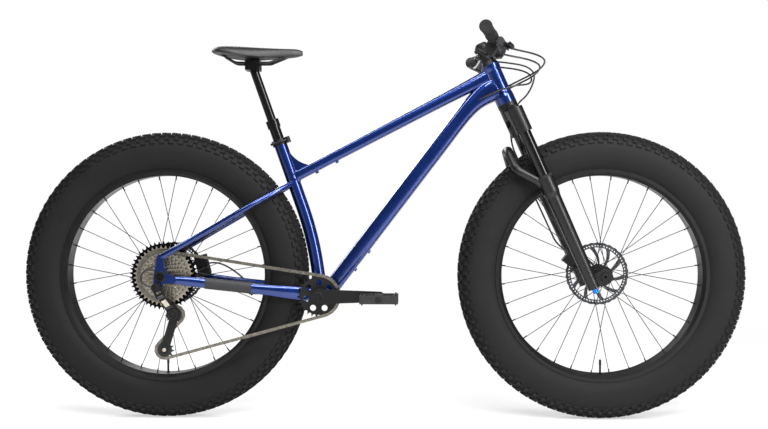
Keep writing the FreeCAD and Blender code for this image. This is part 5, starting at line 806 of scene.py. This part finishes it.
weld = {
    "steps": 180,
    "sides": 10,
    "cornerPower": 0.8,
    "radius": 2.1,
    "ripple": 0.35,
    "ripples": 46,
    # place on the axis, way and radius of the round tubes
    "headTube": (np.array([312.1, 0, 970.7]), steerUp, 25.3),
    "seatTube": (np.array([-257.2, 0, 675.5]), unit((-37.8, 0, 106.5)), 18.8),
}


# A raised bead of weld where a tube meets a round tube: each point of the tube's outline runs
# along the tube until it stands at the round tube's radius from its axis. The bead's thickness
# ripples along its length.
def weldBead(place, heading, half, axisPoint, axisWay, radius):
    turn = np.linspace(0, 2 * np.pi, weld["steps"], endpoint=False)
    heading = unit(heading)
    side = unit(np.cross(heading, (0, 0, 1)))
    over = np.cross(side, heading)
    wide = np.sign(np.cos(turn)) * np.abs(np.cos(turn)) ** weld["cornerPower"] * half[0]
    high = np.sign(np.sin(turn)) * np.abs(np.sin(turn)) ** weld["cornerPower"] * half[1]
    outline = np.asarray(place) + wide[:, None] * side + high[:, None] * over
    axisWay = unit(axisWay)
    apart = outline - axisPoint
    apart -= (apart @ axisWay)[:, None] * axisWay
    run = heading - (heading @ axisWay) * axisWay
    square, cross = run @ run, apart @ run
    inside = np.maximum(cross ** 2 - square * ((apart ** 2).sum(1) - radius ** 2), 0)
    path = outline + ((-cross - np.sqrt(inside)) / square)[:, None] * heading
    thick = weld["radius"] + weld["ripple"] * np.sin(turn * weld["ripples"])
    along = unitRows(np.roll(path, -1, 0) - np.roll(path, 1, 0))
    lift = unitRows(np.cross(along, np.broadcast_to(heading, path.shape)))
    third = np.cross(along, lift)
    bend = ring(1.0, weld["sides"])[None]
    wrap = bend[..., :1] * lift[:, None] + bend[..., 1:] * third[:, None]
    points = path[:, None] + wrap * thick[:, None, None]
    return points.reshape(-1, 3), gridFaces(len(path), weld["sides"], True, True)


headAt, seatAt = weld["headTube"][0], weld["seatTube"][0]
topWay, downWay = headAt - seatAt, (68.0, 0, 38.0)
beads = [
    weldBead(headAt, topWay, (17.6, 21.6), *weld["headTube"]),
    weldBead((329.6, 0, 931.4), downWay, (23.4, 31.4), *weld["headTube"]),
    weldBead(seatAt, -topWay, (17.6, 15.2), *weld["seatTube"]),
]
addPiece("frame_weld_beads", "frame", "candyBluePaint", gathered(beads))
print("weld beads made")

# Rear mech: a broad link shell with a bright plate, the hanger's ring and bolt on the dropout,
# a round cover on the moving knuckle, and the lower pulley's bolt.
mech = {
    "linkFrom": (-609.9, -116.5, 351.7),
    "linkTo": (-591.1, -80.3, 315.3),
    # distance out from the link, half sizes and rounding
    "shell": (2.0, (18.0, 11.5, 6.0), 5.0),
    "plate": (8.0, (14.0, 7.0, 1.0), 0.9),
    "hangerBolt": (-621.0, -125.0, 373.0),
    # radius, height and chamfer of the caps, and radius and height of the bolt's head
    "hangerCap": (9.5, 2.4, 0.8), "pulleyCap": (5.4, 1.8, 0.6), "hangerHead": (6.0, 2.0),
    "hangerHeadOut": 2.0,
    "hangerRing": [(8.5, 0.0), (8.5, 2.6), (14.6, 2.6), (15.4, 1.8), (15.4, -0.5)],
    "hangerRingAcross": -108.0,
    "cover": [
        (16.2, -13.0), (16.2, 0.6), (15.2, 1.6), (11.0, 1.6), (10.2, 0.8), (5.0, 0.8), (4.2, 1.8),
        (2.0, 1.8),
    ],
    "coverAt": (-584.0, -88.0, 296.0),
    "steps": 48,
    "tension": (-609.1, -72.5, 196.2),
}
linkFrom, linkTo = np.array(mech["linkFrom"]), np.array(mech["linkTo"])
linkWay = unit(linkTo - linkFrom)
linkOut = unit(np.cross(linkWay, np.cross(-left, linkWay)))
linkAxes = (linkWay, np.cross(linkWay, linkOut), linkOut)


def linkBlock(out, half, rounding):
    return roundBlock((linkFrom + linkTo) / 2 + linkOut * out, linkAxes, half, rounding)


shell, plate = linkBlock(*mech["shell"]), linkBlock(*mech["plate"])
addPiece("derailleur_link_shell", "derailleur_arm", "satinBlackAnodisedAlloy", shell)
addPiece("derailleur_link_plate", "derailleur_arm", "nickelPlatedSteel", plate)

head = np.array(mech["hangerBolt"]) - left * mech["hangerHeadOut"]
hangerRingAt = (axles["rear"], mech["hangerRingAcross"], axleHeight)
bolts = [
    capDisc(mech["hangerBolt"], -left, *mech["hangerCap"]),
    socketBolt(head, -left, *mech["hangerHead"]),
    turnedPiece(mech["hangerRing"], mech["steps"], hangerRingAt, -left),
]
addPiece("hanger_and_bolt", "frame", "satinBlackAnodisedAlloy", gathered(bolts))

knuckle = turnedPiece(mech["cover"], mech["steps"], mech["coverAt"], -left)
addPiece("derailleur_knuckle_cover", "derailleur_body", "satinBlackAnodisedAlloy", knuckle)
pulleyCap = capDisc(mech["tension"], -left, *mech["pulleyCap"])
addPiece("cage_bolts", "derailleur_swing", "nickelPlatedSteel", pulleyCap)
print("rear mech fittings made")

# Chain: the links of the CAD chain, parted where the chain bends over the mech. Links on the pulley
# cage go with the cage, links at the guide pulley go with the knuckle, and the rear half of the
# lower run is a piece of its own that goes with no body. Each place is X and Z, and each way is
# the direction in which the chain leads on from it towards the lower run, apart from runDown, which is
# square to the run.
chainParts = {
    "guide": (-580.0, 294.0), "guideReach": 72.0,
    "tension": (-609.1, 196.2), "cageReach": 115.0,
    "offCassette": (-634.5, 337.6), "cassetteWay": (0.951, -0.310),
    "offGuide": (-562.8, 276.6), "guideWay": (-0.710, -0.705),
    "offTension": (-602.6, 172.6), "runWay": (0.9646, 0.264), "runDown": (0.264, -0.9646),
    "runHalf": 228.0, "runDepth": 8.0, "runStart": 10.0, "across": -65.5,
}


def pastPlace(places, place, way):
    return (places - np.array(chainParts[place])) @ np.array(chainParts[way])


chainMesh = cadNodes["chain"].data
chainPlace = cadNodes["chain"].matrix_world
chainPoints = np.array([chainPlace @ vertex.co for vertex in chainMesh.vertices]) * perMetre
chainFaces = [tuple(face.vertices) for face in chainMesh.polygons]
middles = np.array([chainPoints[list(face)].mean(axis=0)[[0, 2]] for face in chainFaces])
alongRun = pastPlace(middles, "offTension", "runWay")
onRun = (alongRun > 0) & (alongRun < chainParts["runHalf"])
onRun &= np.abs(pastPlace(middles, "offTension", "runDown")) < chainParts["runDepth"]
nearCage = np.linalg.norm(middles - np.array(chainParts["tension"]), axis=1) < chainParts["cageReach"]
onCage = (pastPlace(middles, "offGuide", "guideWay") > 0) & nearCage & ~onRun
nearGuide = np.linalg.norm(middles - np.array(chainParts["guide"]), axis=1) < chainParts["guideReach"]
atGuide = (pastPlace(middles, "offCassette", "cassetteWay") > 0) & nearGuide & ~onRun & ~onCage
onFrame = ~(onRun | onCage | atGuide)


def chainPiece(name, body, chosen):
    faces = [face for face, taken in zip(chainFaces, chosen) if taken]
    used = sorted({point for face in faces for point in face})
    place = {point: at for at, point in enumerate(used)}
    shape = chainPoints[used], [[place[point] for point in face] for face in faces]
    return addPiece(name, body, "oiledChainSteelPaintedLight", shape)


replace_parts(chainPiece("chain_on_sprockets", "frame", onFrame), "chain")
chainPiece("chain_on_cage", "derailleur_swing", onCage)
chainPiece("chain_at_guide", "derailleur_body", atGuide)
piece = chainPiece("chain_lower_run", None, onRun)
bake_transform(piece)
print("chain parted:", onFrame.sum(), onCage.sum(), atGuide.sum(), onRun.sum(), "faces")

# The floor is pale and takes soft shadows near the bicycle. Farther out it turns to the backdrop's
# white for the camera. Its fade is in metres from the middle.
studioFloor = {
    "size": 60, "dark": "#f0f0f1", "light": "#f5f5f5", "rough": 0.7, "patchMm": 700,
    "fade": {"From Min": 0.9, "From Max": 3.2, "To Min": 0.55},
}
floorFinish = bpy.data.materials.new("paleStudioFloor")
floorFinish.use_nodes = True
tree = floorFinish.node_tree
shader = tree.nodes["Principled BSDF"]
spot = addNode(tree, "ShaderNodeTexCoord", {}, {}, {})
place = spot.outputs["Object"]
patches = {"Scale": perSize(studioFloor["patchMm"])}
mottle = addNode(tree, "ShaderNodeTexNoise", {}, patches, {"Vector": place})
shade = addNode(tree, "ShaderNodeMix", {"data_type": "RGBA"}, {}, {"Factor": mottle.outputs["Fac"]})
shade.inputs[6].default_value = linearColour(studioFloor["dark"])
shade.inputs[7].default_value = linearColour(studioFloor["light"])
tree.links.new(shade.outputs[2], shader.inputs["Base Color"])
shader.inputs["Roughness"].default_value = studioFloor["rough"]
reach = addNode(tree, "ShaderNodeVectorMath", {"operation": "LENGTH"}, {}, {"Vector": place})
smooth = {"interpolation_type": "SMOOTHSTEP"}
fade = addNode(tree, "ShaderNodeMapRange", smooth, studioFloor["fade"], {"Value": reach.outputs["Value"]})
seen = addNode(tree, "ShaderNodeLightPath", {}, {}, {})
both = {0: fade.outputs["Result"], 1: seen.outputs["Is Camera Ray"]}
share = addNode(tree, "ShaderNodeMath", {"operation": "MULTIPLY"}, {}, both)
white = addNode(tree, "ShaderNodeEmission", {}, {"Color": linearColour("#ffffff"), "Strength": 1.0}, {})
both = {0: share.outputs["Value"], 1: shader.outputs["BSDF"], 2: white.outputs["Emission"]}
mixed = addNode(tree, "ShaderNodeMixShader", {}, {}, both)
tree.links.new(mixed.outputs["Shader"], tree.nodes["Material Output"].inputs["Surface"])
bpy.ops.mesh.primitive_plane_add(size=studioFloor["size"])
floor = bpy.context.object
floor.name = "studio_floor"
floor.data.materials.append(floorFinish)

# The backdrop is white for the camera, dimmer as a light, and dimmer still in reflections.
backdrop = {"seen": 1.0, "lighting": 0.3, "reflected": 0.12}
world = bpy.data.worlds.new("studioWorld")
bpy.context.scene.world = world
world.use_nodes = True
tree = world.node_tree
path = addNode(tree, "ShaderNodeLightPath", {}, {}, {})
tree.nodes["Background"].inputs["Color"].default_value = linearColour("#ffffff")
levels = {"To Min": backdrop["lighting"], "To Max": backdrop["reflected"]}
glossy = addNode(tree, "ShaderNodeMapRange", {}, levels, {"Value": path.outputs["Is Glossy Ray"]})
# A mix of plain values has them at inputs 2 and 3 and its result at output 0.
level = addNode(tree, "ShaderNodeMix", {}, {}, {"Factor": path.outputs["Is Camera Ray"]})
level.inputs[3].default_value = backdrop["seen"]
tree.links.new(glossy.outputs["Result"], level.inputs[2])
tree.links.new(level.outputs[0], tree.nodes["Background"].inputs["Strength"])

lamps = [
    # name, place, point it faces, width, height, watts
    ("keySoftbox", (0.8, -3.4, 3.0), (0, 0, 0.6), 2.6, 1.0, 150),
    ("topStrip", (0.0, -0.9, 2.6), (0, 0, 0.6), 3.6, 0.4, 75),
    ("headStrip", (2.03, -1.67, 1.69), (0.33, 0, 0.94), 0.5, 2.4, 80),
    ("backSoftbox", (-1.6, 2.6, 2.2), (0, 0, 0.6), 2.2, 1.4, 80),
]
for name, place, aim, width, height, watts in lamps:
    light = bpy.data.lights.new(name, "AREA")
    light.shape, light.size, light.size_y, light.energy = "RECTANGLE", width, height, watts
    lamp = bpy.data.objects.new(name, light)
    back = np.array(place) - np.array(aim)
    lamp.location = place
    tilt, spin = math.atan2(math.hypot(back[0], back[1]), back[2]), math.atan2(back[0], -back[1])
    lamp.rotation_euler = (tilt, 0, spin)
    bpy.context.scene.collection.objects.link(lamp)

camera = bpy.data.cameras.new("photoCamera")
camera.sensor_width, camera.lens = 36.0, 54.44
eye = bpy.data.objects.new("photoCamera", camera)
eye.location = (0.0891, -3.2903, 0.6143)
eye.rotation_euler = (math.radians(89.288), 0, math.radians(1.507))
bpy.context.scene.collection.objects.link(eye)
bpy.context.scene.camera = eye
bpy.context.scene.view_settings.view_transform = "Standard"
print("stage and camera made")
